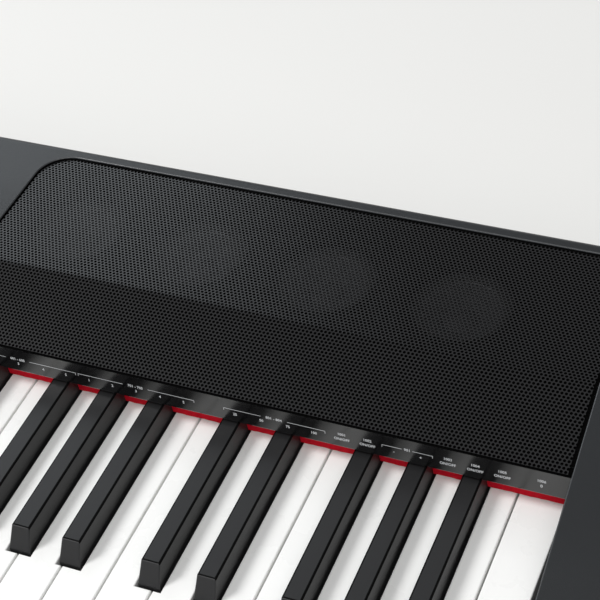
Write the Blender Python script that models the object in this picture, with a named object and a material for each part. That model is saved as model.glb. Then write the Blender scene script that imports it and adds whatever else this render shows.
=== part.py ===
# A slab digital piano with 88 keys, standing on four rubber feet.
# X runs along the keys towards the treble, Y towards the back and Z up.
# The origin is on the table under the middle of the case.
# Sizes here are in millimetres, and add() turns them into metres.
import math

import bmesh
import bpy
from mathutils import Matrix, Vector

MM = 0.001

# How far apart points still merge, and where a round piece's shading breaks
MERGE = 0.001
SMOOTH_ANGLE = math.radians(35.0)

# Clearances between pieces
SEAT = 0.3
EDGE = 0.4
BUTTON_PLAY = 0.45

# Keyboard
WHITE_COUNT = 52
WHITE_PITCH = 23.6
WHITE_GAP = 1.0
WHITE_LENGTH = 148.0
WHITE_BODY = 15.0
WHITE_LIP = 20.0
KEY_WALL = 2.2
KEY_TOP = 72.0
KEY_DIP = 10.0
BLACK_BASE = 11.5
BLACK_TOP_WIDTH = 9.5
BLACK_RISE = 11.3
BLACK_LENGTH = 95.0
BLACK_NOSE = 6.0
BLACK_UNDER_PANEL = 7.4
SHANK_DROP = 1.0
SLOT_PLAY = 0.9
NOTCH_PLAY = 1.2
FIRST_NOTE = 21
LAST_NOTE = 108
FIRST_SINGLE_NOTE = 88
COMB_STARTS = (("low", FIRST_NOTE), ("mid", 48), ("high", 72))

# Pivot bar under the tails of the keys
PIVOT_BACK = 78.0
BAR_RADIUS = 2.5
BAR_SIDES = 12
TAIL = 7.0
HOOK_DROP = 5.0
RAIL_DEPTH = 5.0
RAIL_BITE = 0.8
RAIL_SPACE = 2.0
RAIL_TOP_DROP = 1.0
WHITE_RAIL_HEIGHT = 7.0
TONGUE_HEIGHT = 5.0
BLACK_RAIL_HEIGHT = 9.0
TONGUE_LEAD = 3.0
TONGUE_OVERLAP = 3.0

# Case
KEY_END_GAP = 4.0
CHEEK_WIDTH = 37.0
CHEEK_RISE = 8.0
LIP_GAP = 3.0
FRONT_RAIL_DEPTH = 21.0
FRONT_RAIL_DROP = 10.0
PANEL_TO_BACK = 142.0
PANEL_RISE = 13.0
STRIP_RISE = 16.0
STRIP_RUN = 1.7
SLOPE_RUN = 44.3
SLOPE_ANGLE = math.radians(17.1)
CASE_WALL = 3.0
PART_LINE_DROP = 22.0
FOOT_HEIGHT = 5.0
EDGE_ROUND = 6.0
EDGE_STEPS = 6
PLAN_ROUND = 12.0
PLAN_STEPS = 8

# Function strip and felt
STRIP_WALL = 2.5
FLANGE_RUN = 4.6
FLANGE_WALL = 2.0
LIP_RUN = 16.0
FELT_BEHIND_EDGE = 7.9
FELT_DEPTH = 6.0
FELT_ABOVE_KEYS = 0.8

# Speaker grilles
GRILLE_RECESS = 1.5
GRILLE_SHEET = 1.0
GRILLE_LENGTH = 336.0
GRILLE_TO_BACK = 9.3
GRILLE_ROUND = 18.0
GRILLE_STEPS = 10
LEDGE = 4.0
DECK_DROP = 7.0
DECK_WALL = 2.5

# Speakers, four behind each grille
SPEAKERS_PER_SIDE = 4
SPEAKER_PITCH = 72.0
SPEAKER_FROM_END = 80.0
SPEAKER_FROM_BACK = 56.0
SPEAKER_WINDOW = 26.0
SPEAKER_LAP = 4.5
SPEAKER_FLANGE_WALL = 2.5
CONE_DEPTH = 9.0
CONE_INSET = 1.5
SURROUND = 2.0
SURROUND_DROP = 1.5
CAP_RADIUS = 9.0
CAP_RISE = 2.5
CAP_SHOULDER = 5.4
CAP_SHOULDER_RISE = 1.8
BASKET_MARGIN = 0.5
BASKET_DEPTH = 14.0
MAGNET_RADIUS = 17.0
SPEAKER_DEPTH = 26.0
SPEAKER_SIDES = 16
HOLE_SIDES = 24

# Control panel in the middle of the top
PANEL_LENGTH = 300.0
PANEL_DEPTH = 66.0
PANEL_FROM_BACK = 51.0
PANEL_SHEET = 2.0
PANEL_ROUND = 6.0
LEAST_ROUND = 1.0
PANEL_LEDGE = 5.0
PANEL_STEPS = 6
DISPLAY_LENGTH = 60.0
DISPLAY_DEPTH = 26.0
DISPLAY_WALL = 1.2
DISPLAY_ROUND = 2.0
BUTTON_STEPS = 3
KNOB_X = -92.0
KNOB_RADIUS = 12.0
KNOB_HEIGHT = 14.0
KNOB_LIFT = 0.6
KNOB_SHAFT = 3.0
KNOB_TAPER = 0.8
KNOB_CHAMFER = 1.0
KNOB_SIDES = 32
POINTER_WIDTH = 1.2
POINTER_DEPTH = 0.6
POWER_X = -130.0
POWER_RADIUS = 5.5
POWER_CHAMFER = 0.6
MINUS_X = 58.0
PLUS_X = 82.0
FUNCTION_X = 116.0
BUTTON_LENGTH = 16.0
BUTTON_DEPTH = 9.0
BUTTON_RISE = 2.2
BUTTON_TRAVEL = 1.5
BUTTON_FLANGE = 1.2
BUTTON_FLANGE_WALL = 1.0
BUTTON_STEM = 5.0
BUTTON_ROUND = 1.5
BOARD_WALL = 1.6
BOARD_OVERHANG = 4.0
BOARD_DROP = 14.0
PANEL_FRAME_WALL = 2.5
PANEL_FRAME_OVERHANG = 6.0
POST_RADIUS = 3.5
POST_SIDES = 8
POST_INSET = 1.0

# Music rest slots
REST_SLOT_LENGTH = 150.0
REST_SLOT_WIDTH = 5.5
REST_SLOT_X = 90.0
REST_SLOT_FROM_BACK = 10.0

# Key chassis, contacts and stops
CHASSIS_WALL = 2.5
CHASSIS_BASE = 22.0
CHASSIS_FRONT = 22.0
RIB_WALL = 2.0
LEG_WALL = 3.0
STOP_REACH = 166.0
STOP_WIDTH = 12.0
STOP_FELT_THICK = 3.0
CONTACT_REACH = 63.0
CONTACT_WIDTH = 14.0
CONTACT_PAD = 4.0
CONTACT_BOARD_WIDTH = 40.0

# Rear sockets
JACK_FROM_END = 154.6
JACK_PITCH = 36.0
JACK_BODY = 18.0
JACK_BORE = 3.4
JACK_WINDOW = 6.0
JACK_DEPTH = 19.0
JACK_BORE_DEPTH = 16.0
JACK_SIDES = 12
JACK_HEIGHT = 30.0
USB_LENGTH = 9.0
USB_HEIGHT = 8.0
JACK_BOARD_MARGIN = 6.0

# Feet
FOOT_RADIUS = 11.0
FOOT_WAIST = 9.0
FOOT_TAPER = 1.5
FOOT_INSET_X = 70.0
FOOT_INSET_Y = 34.0
FOOT_SIDES = 16

# Places worked out from the sizes above
KEYS_HALF = WHITE_COUNT * WHITE_PITCH / 2
WELL_HALF = KEYS_HALF + KEY_END_GAP
CASE_HALF = WELL_HALF + CHEEK_WIDTH
CASE_DEPTH = PANEL_TO_BACK + WHITE_LENGTH + LIP_GAP + FRONT_RAIL_DEPTH
Y_BACK = CASE_DEPTH / 2
Y_FRONT = -Y_BACK
Y_PANEL = Y_BACK - PANEL_TO_BACK
Y_KEY_FRONT = Y_PANEL - WHITE_LENGTH
Y_RAIL_BACK = Y_KEY_FRONT - LIP_GAP
Y_PIVOT = Y_PANEL + PIVOT_BACK
Y_TAIL = Y_PIVOT + TAIL
Y_FELT = Y_PANEL + FELT_BEHIND_EDGE
KEY_BOTTOM = KEY_TOP - WHITE_BODY
BLACK_TOP = KEY_TOP + BLACK_RISE
SHANK_TOP = KEY_TOP - SHANK_DROP
Z_PIVOT = KEY_BOTTOM - BAR_RADIUS - SEAT
DIP_ANGLE = math.asin(KEY_DIP / (Y_PIVOT - Y_KEY_FRONT))
STRIP_BOTTOM = KEY_TOP + PANEL_RISE
STRIP_TOP = STRIP_BOTTOM + STRIP_RISE
Y_STRIP_TOP = Y_PANEL + STRIP_RUN
Y_GRILLE_FOLD = Y_STRIP_TOP + SLOPE_RUN
GRILLE_TOP = STRIP_TOP + SLOPE_RUN * math.tan(SLOPE_ANGLE)
CASE_TOP = GRILLE_TOP + GRILLE_RECESS
Y_GRILLE_BACK = Y_BACK - GRILLE_TO_BACK
FLOOR_TOP = FOOT_HEIGHT + CASE_WALL
PART_LINE = KEY_TOP - PART_LINE_DROP
CHEEK_TOP = KEY_TOP + CHEEK_RISE
GRILLE_X = (WELL_HALF - GRILLE_LENGTH, WELL_HALF)
Y_SPEAKERS = Y_BACK - SPEAKER_FROM_BACK
Y_CONTROLS = Y_BACK - PANEL_FROM_BACK
BOARD_TOP = CASE_TOP - BOARD_DROP
JACK_BOARD_X = JACK_FROM_END - CASE_HALF
NOTE_LETTERS = ("C", "C_sharp", "D", "D_sharp", "E", "F", "F_sharp", "G", "G_sharp", "A", "A_sharp", "B")
WHITE_STEPS = {0: 0, 2: 1, 4: 2, 5: 3, 7: 4, 9: 5, 11: 6}
BLACK_CENTRES = {1: 0.9, 3: 2.1, 6: 3 + 6 / 7, 8: 5.0, 10: 3 + 22 / 7}

for old in list(bpy.data.objects):
    bpy.data.objects.remove(old)


def finish(piece, hex_colour, roughness, metallic=0.0):
    """Give a piece its own material from an sRGB colour."""
    channels = [int(hex_colour[i:i + 2], 16) / 255 for i in (0, 2, 4)]
    linear = [c / 12.92 if c <= 0.04045 else ((c + 0.055) / 1.055) ** 2.4 for c in channels]
    material = bpy.data.materials.new(piece.name + "_finish")
    material.use_nodes = True
    shader = material.node_tree.nodes["Principled BSDF"]
    shader.inputs["Base Color"].default_value = (*linear, 1.0)
    shader.inputs["Roughness"].default_value = roughness
    shader.inputs["Metallic"].default_value = metallic
    piece.data.materials.append(material)
    return piece


def add(name, bm, pivot=(0.0, 0.0, 0.0), smooth=False):
    """Make an object with its origin at pivot from a bmesh drawn in the piano's frame."""
    bmesh.ops.recalc_face_normals(bm, faces=bm.faces)
    to_origin = Matrix.Translation(-Vector(pivot))
    bmesh.ops.transform(bm, matrix=Matrix.Scale(MM, 4) @ to_origin, verts=bm.verts)
    mesh = bpy.data.meshes.new(name)
    bm.to_mesh(mesh)
    bm.free()
    if smooth:
        mesh.shade_smooth()
        mesh.set_sharp_from_angle(angle=SMOOTH_ANGLE)
    piece = bpy.data.objects.new(name, mesh)
    piece.location = Vector(pivot) * MM
    bpy.context.scene.collection.objects.link(piece)
    return piece


def extruded(corners, step):
    """A closed block from a flat ring of corners pushed along step."""
    bm = bmesh.new()
    face = bm.faces.new([bm.verts.new(corner) for corner in corners])
    pushed = bmesh.ops.extrude_face_region(bm, geom=[face], use_keep_orig=True)
    moved = [item for item in pushed["geom"] if isinstance(item, bmesh.types.BMVert)]
    bmesh.ops.translate(bm, vec=step, verts=moved)
    return bm


def along_x(section, x_low, x_high):
    """A section of (y, z) corners drawn out along X."""
    return extruded([(x_low, y, z) for y, z in section], (x_high - x_low, 0, 0))


def upright(outline, z_low, z_high):
    """An outline of (x, y) corners drawn up along Z."""
    return extruded([(x, y, z_low) for x, y in outline], (0, 0, z_high - z_low))


def box(x_low, x_high, y_low, y_high, z_low, z_high):
    corners = [(x_low, y_low), (x_high, y_low), (x_high, y_high), (x_low, y_high)]
    return upright(corners, z_low, z_high)


def round_outline(x_low, x_high, y_low, y_high, front, back, steps):
    """A rectangle whose front and back corners have these radii, 0 being a sharp corner."""
    outline = []
    places = (
        (x_low, y_low, 1, 1, front, math.pi),
        (x_high, y_low, -1, 1, front, 1.5 * math.pi),
        (x_high, y_high, -1, -1, back, 0.0),
        (x_low, y_high, 1, -1, back, 0.5 * math.pi),
    )
    for x, y, to_x, to_y, radius, start in places:
        if radius <= 0:
            outline.append((x, y))
            continue
        for step in range(steps + 1):
            turn = start + 0.5 * math.pi * step / steps
            across = x + to_x * radius + radius * math.cos(turn)
            outline.append((across, y + to_y * radius + radius * math.sin(turn)))
    return outline


def ring(x, y, radius, sides):
    turns = [2 * math.pi * side / sides for side in range(sides)]
    return [(x + radius * math.cos(turn), y + radius * math.sin(turn)) for turn in turns]


def turned(profile, x, y, z, sides):
    """A solid of revolution about an upright axis, from (radius, height) points that start and end on it."""
    bm = bmesh.new()
    points = [bm.verts.new((radius, 0, height)) for radius, height in profile]
    edges = [bm.edges.new(pair) for pair in zip(points, points[1:])]
    bmesh.ops.spin(
        bm, geom=points + edges, cent=(0, 0, 0), axis=(0, 0, 1),
        angle=2 * math.pi, steps=sides, use_merge=True,
    )
    bmesh.ops.remove_doubles(bm, verts=bm.verts, dist=MERGE)
    bmesh.ops.translate(bm, vec=(x, y, z), verts=bm.verts)
    return bm


def helper(name, bm):
    """A cutter or an addition, which isn't a piece of its own."""
    tool = add(name, bm)
    tool.hide_render = True
    tool.display_type = "WIRE"
    return tool


def combine(piece, name, bm, operation="DIFFERENCE"):
    """Cut a helper from a piece, or join or intersect the two, and give back the helper."""
    modifier = piece.modifiers.new(name, "BOOLEAN")
    modifier.operation = operation
    modifier.solver = "EXACT"
    modifier.object = helper(piece.name + "_" + name, bm)
    return modifier.object


def fold_y(depth):
    """Where the slope meets the flat top, this deep under the case's surface."""
    return Y_GRILLE_FOLD + (depth - GRILLE_RECESS) * math.tan(SLOPE_ANGLE / 2)


def slope_z(y, depth):
    run = Y_GRILLE_FOLD - y
    down = (depth - GRILLE_RECESS) / math.cos(SLOPE_ANGLE)
    return GRILLE_TOP - run * math.tan(SLOPE_ANGLE) - down


def under_surface(depth):
    """The height of a surface this deep under the slope and the flat top."""
    return lambda y: min(CASE_TOP - depth, slope_z(y, depth))


def level(z):
    return lambda y: z


def draped(outline, lower, upper, fold):
    """A block over an outline, between two surfaces that fold where the case does."""
    bm = extruded([(x, y, 0) for x, y in outline], (0, 0, 1))
    geom = bm.verts[:] + bm.edges[:] + bm.faces[:]
    bmesh.ops.bisect_plane(bm, geom=geom, plane_co=(0, fold, 0), plane_no=(0, 1, 0))
    for vert in bm.verts:
        vert.co.z = (upper if vert.co.z > 0.5 else lower)(vert.co.y)
    return bm


def case_section(inset, bottom):
    """The side view of the case's top, drawn this far inside its surface."""
    front = Y_FRONT + inset
    back = Y_BACK - inset
    radius = EDGE_ROUND - inset
    turns = [0.5 * math.pi * step / EDGE_STEPS for step in range(EDGE_STEPS + 1)]
    cheek = CHEEK_TOP - inset
    top = CASE_TOP - inset
    bend = fold_y(inset) - (top - cheek) / math.tan(SLOPE_ANGLE)
    section = [(front, bottom)]
    for turn in turns:
        section.append((front + radius * (1 - math.cos(turn)), cheek - radius * (1 - math.sin(turn))))
    section += [(bend, cheek), (fold_y(inset), top)]
    for turn in turns:
        section.append((back - radius * (1 - math.sin(turn)), top - radius * (1 - math.cos(turn))))
    section.append((back, bottom))
    return section


def sides():
    """The two ends of the piano, -1 for the bass and 1 for the treble."""
    return (("left", -1), ("right", 1))


def span(side, low, high):
    """A stretch of X on one side, lower end first."""
    return sorted((side * low, side * high))


def grille_outline(side, margin):
    """The plan of a grille, drawn this far inside its recess."""
    x_low, x_high = span(side, GRILLE_X[0] + margin, GRILLE_X[1] - margin)
    front = Y_STRIP_TOP if margin < LEDGE else Y_STRIP_TOP + FLANGE_RUN + margin
    radius = GRILLE_ROUND - margin
    return round_outline(x_low, x_high, front, Y_GRILLE_BACK - margin, 0, radius, GRILLE_STEPS)


def panel_outline(margin):
    half = PANEL_LENGTH / 2 - margin
    y_low = Y_CONTROLS - PANEL_DEPTH / 2 + margin
    y_high = Y_CONTROLS + PANEL_DEPTH / 2 - margin
    radius = max(PANEL_ROUND - margin, LEAST_ROUND)
    return round_outline(-half, half, y_low, y_high, radius, radius, PANEL_STEPS)


def case_plan(inset):
    radius = PLAN_ROUND - inset
    half = CASE_HALF - inset
    return round_outline(-half, half, Y_FRONT + inset, Y_BACK - inset, radius, radius, PLAN_STEPS)


def speaker_places(side):
    first = WELL_HALF - SPEAKER_FROM_END
    return [side * (first - SPEAKER_PITCH * n) for n in range(SPEAKERS_PER_SIDE)]


def flange_top(y):
    """The seat for the front edge of the grilles, on top of the function strip."""
    return slope_z(y, GRILLE_RECESS + GRILLE_SHEET + SEAT)


def post_places():
    """The corners of the control panel, just outside the window under it."""
    half = PANEL_LENGTH / 2 - POST_INSET
    reach = PANEL_DEPTH / 2 - POST_INSET
    return [(sx * half, Y_CONTROLS + sy * reach) for sx in (-1, 1) for sy in (-1, 1)]


def make_top_case():
    """The upper moulding: flat top, slope and both cheeks in one piece, open underneath."""
    low = PART_LINE
    past = 10.0
    piece = add("top_case", along_x(case_section(0, low), -CASE_HALF, CASE_HALF))
    combine(piece, "plan", upright(case_plan(0), low - past, CASE_TOP + past), "INTERSECT")

    # The key well, with the seat for the function strip's top flange at its back.
    # The wall behind the flange ends over the strip's lip, so that the keys run under it.
    y_back = Y_STRIP_TOP + FLANGE_RUN + SEAT
    y_open = y_back + CASE_WALL + EDGE
    wall_end = STRIP_BOTTOM + STRIP_WALL + SEAT
    well = [
        (Y_FRONT - past, low - past), (Y_FRONT - past, CASE_TOP + past), (Y_STRIP_TOP, CASE_TOP + past),
        (Y_STRIP_TOP, flange_top(Y_STRIP_TOP)), (y_back, flange_top(y_back)), (y_back, wall_end),
        (y_open, wall_end), (y_open, low - past),
    ]
    combine(piece, "key_well", along_x(well, -WELL_HALF, WELL_HALF))

    # The hollow of each cheek. Its plan follows the case's round corners, so that the wall is as thick there.
    cheek_hollow = case_section(CASE_WALL, low - past)
    for name, side in sides():
        x_low, x_high = span(side, WELL_HALF + CASE_WALL, CASE_HALF - CASE_WALL)
        hollow = combine(piece, name + "_cheek_hollow", along_x(cheek_hollow, x_low, x_high))
        plan = upright(case_plan(CASE_WALL), low - 2 * past, CASE_TOP + past)
        combine(hollow, "plan", plan, "INTERSECT")

    # The hollow behind the strip. It is higher between the grilles, where no speaker deck lies under the top.
    hollow_front = y_back + CASE_WALL
    hollow_back = Y_BACK - CASE_WALL
    deck_under = DECK_DROP + DECK_WALL
    for name, half, under in (
        ("hollow", WELL_HALF - SEAT, deck_under),
        ("middle_hollow", GRILLE_X[0] - CASE_WALL, CASE_WALL),
    ):
        outline = [(-half, hollow_front), (half, hollow_front), (half, hollow_back), (-half, hollow_back)]
        roof = draped(outline, level(low - past), under_surface(under), fold_y(under))
        combine(piece, name, roof)
    for name, side in sides():
        ledge = GRILLE_RECESS + GRILLE_SHEET + SEAT
        recess = draped(grille_outline(side, 0), under_surface(ledge), level(CASE_TOP + past), fold_y(ledge))
        combine(piece, name + "_grille_recess", recess)
        outline = grille_outline(side, LEDGE)
        deck = draped(outline, under_surface(DECK_DROP), level(CASE_TOP + past), fold_y(DECK_DROP))
        combine(piece, name + "_deck", deck)
        for number, x in enumerate(speaker_places(side), 1):
            hole = upright(ring(x, Y_SPEAKERS, SPEAKER_WINDOW, HOLE_SIDES), BOARD_TOP - past, CASE_TOP)
            combine(piece, f"{name}_speaker_hole_{number}", hole)

    # The control panel's frame, with the posts that carry the main board, its recess and its window.
    seat = CASE_TOP - PANEL_SHEET - SEAT
    frame = upright(panel_outline(-PANEL_FRAME_OVERHANG), seat - PANEL_FRAME_WALL, CASE_TOP - SEAT)
    combine(piece, "panel_frame", frame, "UNION")
    for number, (x, y) in enumerate(post_places()):
        post = upright(ring(x, y, POST_RADIUS, POST_SIDES), BOARD_TOP + SEAT, seat - SEAT)
        combine(piece, f"post_{number}", post, "UNION")
    combine(piece, "panel_recess", upright(panel_outline(0), seat, CASE_TOP + past))
    combine(piece, "panel_window", upright(panel_outline(PANEL_LEDGE), BOARD_TOP, CASE_TOP))

    # Two slots for a music rest.
    for name, side in sides():
        x_low, x_high = span(side, REST_SLOT_X - REST_SLOT_LENGTH / 2, REST_SLOT_X + REST_SLOT_LENGTH / 2)
        y_high = Y_BACK - REST_SLOT_FROM_BACK + REST_SLOT_WIDTH / 2
        slot = box(x_low, x_high, y_high - REST_SLOT_WIDTH, y_high, BOARD_TOP, CASE_TOP + past)
        combine(piece, name + "_rest_slot", slot)
    return finish(piece, "3b3d40", 0.42)


def make_bottom_case():
    """The lower tray, with windows for the rear sockets."""
    piece = add("bottom_case", upright(case_plan(0), FOOT_HEIGHT, PART_LINE - SEAT))
    combine(piece, "inside", upright(case_plan(CASE_WALL), FLOOR_TOP, PART_LINE + CASE_WALL))
    for number, x in enumerate(jack_places()):
        window = extruded(jack_ring(x, JACK_WINDOW, Y_BACK - 2 * CASE_WALL), (0, 4 * CASE_WALL, 0))
        combine(piece, f"socket_window_{number}", window)
    return finish(piece, "26272a", 0.55)


def jack_places():
    """The sockets from the bass end: power, computer, pedal and headphones."""
    return [JACK_BOARD_X + JACK_PITCH * (n - 1.5) for n in range(4)]


def jack_ring(x, radius, y):
    return [(across, y, up) for across, up in ring(x, JACK_HEIGHT, radius, JACK_SIDES)]


def make_jack_board():
    """The circuit board behind the sockets, with their bodies and bores."""
    y_face = Y_BACK - CASE_WALL - SEAT
    y_board = y_face - JACK_DEPTH
    half = 1.5 * JACK_PITCH + JACK_BODY / 2 + JACK_BOARD_MARGIN
    z_half = JACK_BODY / 2 + JACK_BOARD_MARGIN
    board = box(
        JACK_BOARD_X - half, JACK_BOARD_X + half, y_board - BOARD_WALL, y_board,
        JACK_HEIGHT - z_half, JACK_HEIGHT + z_half,
    )
    piece = add("jack_board", board)
    for number, x in enumerate(jack_places()):
        body = box(
            x - JACK_BODY / 2, x + JACK_BODY / 2, y_board - BOARD_WALL / 2, y_face,
            JACK_HEIGHT - JACK_BODY / 2, JACK_HEIGHT + JACK_BODY / 2,
        )
        combine(piece, f"socket_{number}", body, "UNION")
        y_bore = y_face - JACK_BORE_DEPTH
        if number == 1:
            bore = box(
                x - USB_LENGTH / 2, x + USB_LENGTH / 2, y_bore, y_face + CASE_WALL,
                JACK_HEIGHT - USB_HEIGHT / 2, JACK_HEIGHT + USB_HEIGHT / 2,
            )
        else:
            bore = extruded(jack_ring(x, JACK_BORE, y_bore), (0, JACK_BORE_DEPTH + CASE_WALL, 0))
        combine(piece, f"bore_{number}", bore)
    return finish(piece, "1f5a34", 0.5)


def make_front_rail():
    """The rail in front of the keys: a channel, open underneath, between the cheeks."""
    y_low = Y_FRONT
    y_high = Y_RAIL_BACK
    z_low = PART_LINE
    z_high = KEY_TOP - FRONT_RAIL_DROP
    wall = CASE_WALL
    turns = [0.5 * math.pi * step / EDGE_STEPS for step in range(EDGE_STEPS + 1)]
    radius = EDGE_ROUND / 2
    section = [(y_low, z_low)]
    for turn in turns:
        across = y_low + radius * (1 - math.cos(turn))
        section.append((across, z_high - radius * (1 - math.sin(turn))))
    section += [
        (y_high, z_high), (y_high, z_low), (y_high - wall, z_low), (y_high - wall, z_high - wall),
        (y_low + wall, z_high - wall), (y_low + wall, z_low),
    ]
    half = WELL_HALF - SEAT
    return finish(add("front_rail", along_x(section, -half, half)), "2b2c2e", 0.45)


def make_function_strip():
    """The steep gloss strip over the backs of the keys, with the lip that carries the felt."""
    lean = STRIP_RUN / STRIP_RISE
    wall = STRIP_WALL
    # The front face climbs until it reaches the seat under the grille's front edge.
    seat_at_panel = slope_z(Y_PANEL, GRILLE_RECESS + GRILLE_SHEET + 2 * SEAT)
    climb = (seat_at_panel - STRIP_BOTTOM) / (1 - lean * math.tan(SLOPE_ANGLE))
    y_top = Y_PANEL + climb * lean
    z_top = STRIP_BOTTOM + climb
    y_flange = Y_STRIP_TOP + FLANGE_RUN
    z_flange = z_top + (y_flange - y_top) * math.tan(SLOPE_ANGLE)
    y_web = y_top + wall
    z_web = z_top - FLANGE_WALL + wall * math.tan(SLOPE_ANGLE)
    y_foot = y_web - (z_web - STRIP_BOTTOM - wall) * lean
    section = [
        (Y_PANEL, STRIP_BOTTOM), (y_top, z_top), (y_flange, z_flange), (y_flange, z_flange - FLANGE_WALL),
        (y_web, z_web), (y_foot, STRIP_BOTTOM + wall), (Y_PANEL + LIP_RUN, STRIP_BOTTOM + wall),
        (Y_PANEL + LIP_RUN, STRIP_BOTTOM),
    ]
    half = WELL_HALF - SEAT
    return finish(add("function_strip", along_x(section, -half, half)), "0a0a0b", 0.12)


def make_felt_strip():
    """The red felt behind the keys, glued under the strip's lip."""
    z_low = KEY_TOP + FELT_ABOVE_KEYS
    felt = box(-KEYS_HALF, KEYS_HALF, Y_FELT, Y_FELT + FELT_DEPTH, z_low, STRIP_BOTTOM - SEAT)
    return finish(add("felt_strip", felt), "a80f14", 0.95)


def make_grille(name, side):
    """A folded sheet, held on its ledge. Its perforation is too fine for this solid."""
    lower = under_surface(GRILLE_RECESS + GRILLE_SHEET)
    upper = under_surface(GRILLE_RECESS)
    sheet = draped(grille_outline(side, EDGE), lower, upper, fold_y(GRILLE_RECESS))
    return finish(add(name + "_grille", sheet), "141416", 0.5, 0.3)


def make_speaker(name, x):
    """A small full-range driver screwed under the deck: flange, cone, basket and magnet."""
    z_top = CASE_TOP - DECK_DROP - DECK_WALL - SEAT
    surround = SPEAKER_WINDOW - CONE_INSET - SURROUND
    flange = SPEAKER_WINDOW + SPEAKER_LAP
    basket = SPEAKER_WINDOW + BASKET_MARGIN
    dish = z_top - CONE_DEPTH
    profile = [
        (0, dish + CAP_RISE), (CAP_SHOULDER, dish + CAP_SHOULDER_RISE), (CAP_RADIUS, dish),
        (surround - SURROUND, z_top - SURROUND_DROP), (surround, z_top), (flange, z_top),
        (flange, z_top - SPEAKER_FLANGE_WALL),
        (basket, z_top - SPEAKER_FLANGE_WALL), (MAGNET_RADIUS, z_top - BASKET_DEPTH),
        (MAGNET_RADIUS, z_top - SPEAKER_DEPTH), (0, z_top - SPEAKER_DEPTH),
    ]
    piece = add(name, turned(profile, x, Y_SPEAKERS, 0, SPEAKER_SIDES), smooth=True)
    return finish(piece, "2e2e30", 0.6)


def make_control_panel():
    """The plate in the middle of the top, with windows for the display and the controls."""
    z_low = CASE_TOP - PANEL_SHEET
    past = 2.0
    piece = add("control_panel", upright(panel_outline(EDGE), z_low, CASE_TOP))
    display = display_outline(0)
    combine(piece, "display_recess", upright(display, CASE_TOP - DISPLAY_WALL, CASE_TOP + past))
    shaft = ring(KNOB_X, Y_CONTROLS, KNOB_SHAFT + BUTTON_PLAY, JACK_SIDES)
    combine(piece, "shaft_hole", upright(shaft, z_low - past, CASE_TOP + past))
    power = ring(POWER_X, Y_CONTROLS, POWER_RADIUS + BUTTON_PLAY, KNOB_SIDES)
    combine(piece, "power_hole", upright(power, z_low - past, CASE_TOP + past))
    for name, x in button_places():
        hole = button_outline(x, BUTTON_PLAY)
        combine(piece, name + "_hole", upright(hole, z_low - past, CASE_TOP + past))
    return finish(piece, "17181a", 0.3)


def button_places():
    return (("minus_button", MINUS_X), ("plus_button", PLUS_X), ("function_button", FUNCTION_X))


def button_outline(x, margin):
    half_x = BUTTON_LENGTH / 2 + margin
    half_y = BUTTON_DEPTH / 2 + margin
    low = Y_CONTROLS - half_y
    high = Y_CONTROLS + half_y
    radius = BUTTON_ROUND + margin
    return round_outline(x - half_x, x + half_x, low, high, radius, radius, BUTTON_STEPS)


def display_outline(margin):
    half_x = DISPLAY_LENGTH / 2 - margin
    low = Y_CONTROLS - DISPLAY_DEPTH / 2 + margin
    high = Y_CONTROLS + DISPLAY_DEPTH / 2 - margin
    return round_outline(-half_x, half_x, low, high, DISPLAY_ROUND, DISPLAY_ROUND, BUTTON_STEPS)


def make_display_window():
    window = upright(display_outline(SEAT), CASE_TOP - DISPLAY_WALL + SEAT, CASE_TOP)
    return finish(add("display_window", window), "0c0d10", 0.08)


def make_volume_knob():
    """The knob and its shaft, which turns in the panel and ends over the main board."""
    z_low = BOARD_TOP + SEAT
    z_seat = CASE_TOP + KNOB_LIFT
    z_top = z_seat + KNOB_HEIGHT
    profile = [
        (0, z_low), (KNOB_SHAFT, z_low), (KNOB_SHAFT, z_seat), (KNOB_RADIUS, z_seat),
        (KNOB_RADIUS - KNOB_TAPER, z_top - KNOB_CHAMFER), (KNOB_RADIUS - KNOB_TAPER - KNOB_CHAMFER, z_top),
        (0, z_top),
    ]
    axis = (KNOB_X, Y_CONTROLS, CASE_TOP)
    knob = turned(profile, KNOB_X, Y_CONTROLS, 0, KNOB_SIDES)
    piece = add("volume_knob", knob, axis, smooth=True)
    # The pointer groove, at the back when the knob is in the middle of its turn.
    half = POINTER_WIDTH / 2
    past = 1.0
    groove = box(
        KNOB_X - half, KNOB_X + half, Y_CONTROLS + KNOB_RADIUS / 2, Y_CONTROLS + KNOB_RADIUS + past,
        z_top - POINTER_DEPTH, z_top + past,
    )
    combine(piece, "pointer", groove)
    return finish(piece, "1b1c1e", 0.4)


def stem_bottom():
    """Where a button's stem ends, so that it stops just over the main board when pressed."""
    return BOARD_TOP + BUTTON_TRAVEL + SEAT


def make_power_button():
    z_flange = CASE_TOP - PANEL_SHEET - SEAT
    z_low = z_flange - BUTTON_FLANGE_WALL
    z_top = CASE_TOP + BUTTON_RISE
    wide = POWER_RADIUS + BUTTON_FLANGE
    profile = [
        (0, stem_bottom()), (BUTTON_STEM / 2, stem_bottom()), (BUTTON_STEM / 2, z_low), (wide, z_low),
        (wide, z_flange), (POWER_RADIUS, z_flange), (POWER_RADIUS, z_top - POWER_CHAMFER),
        (POWER_RADIUS - POWER_CHAMFER, z_top), (0, z_top),
    ]
    axis = (POWER_X, Y_CONTROLS, CASE_TOP)
    knob = turned(profile, POWER_X, Y_CONTROLS, 0, KNOB_SIDES // 2)
    return finish(add("power_button", knob, axis, smooth=True), "d8d8d8", 0.4)


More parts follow.
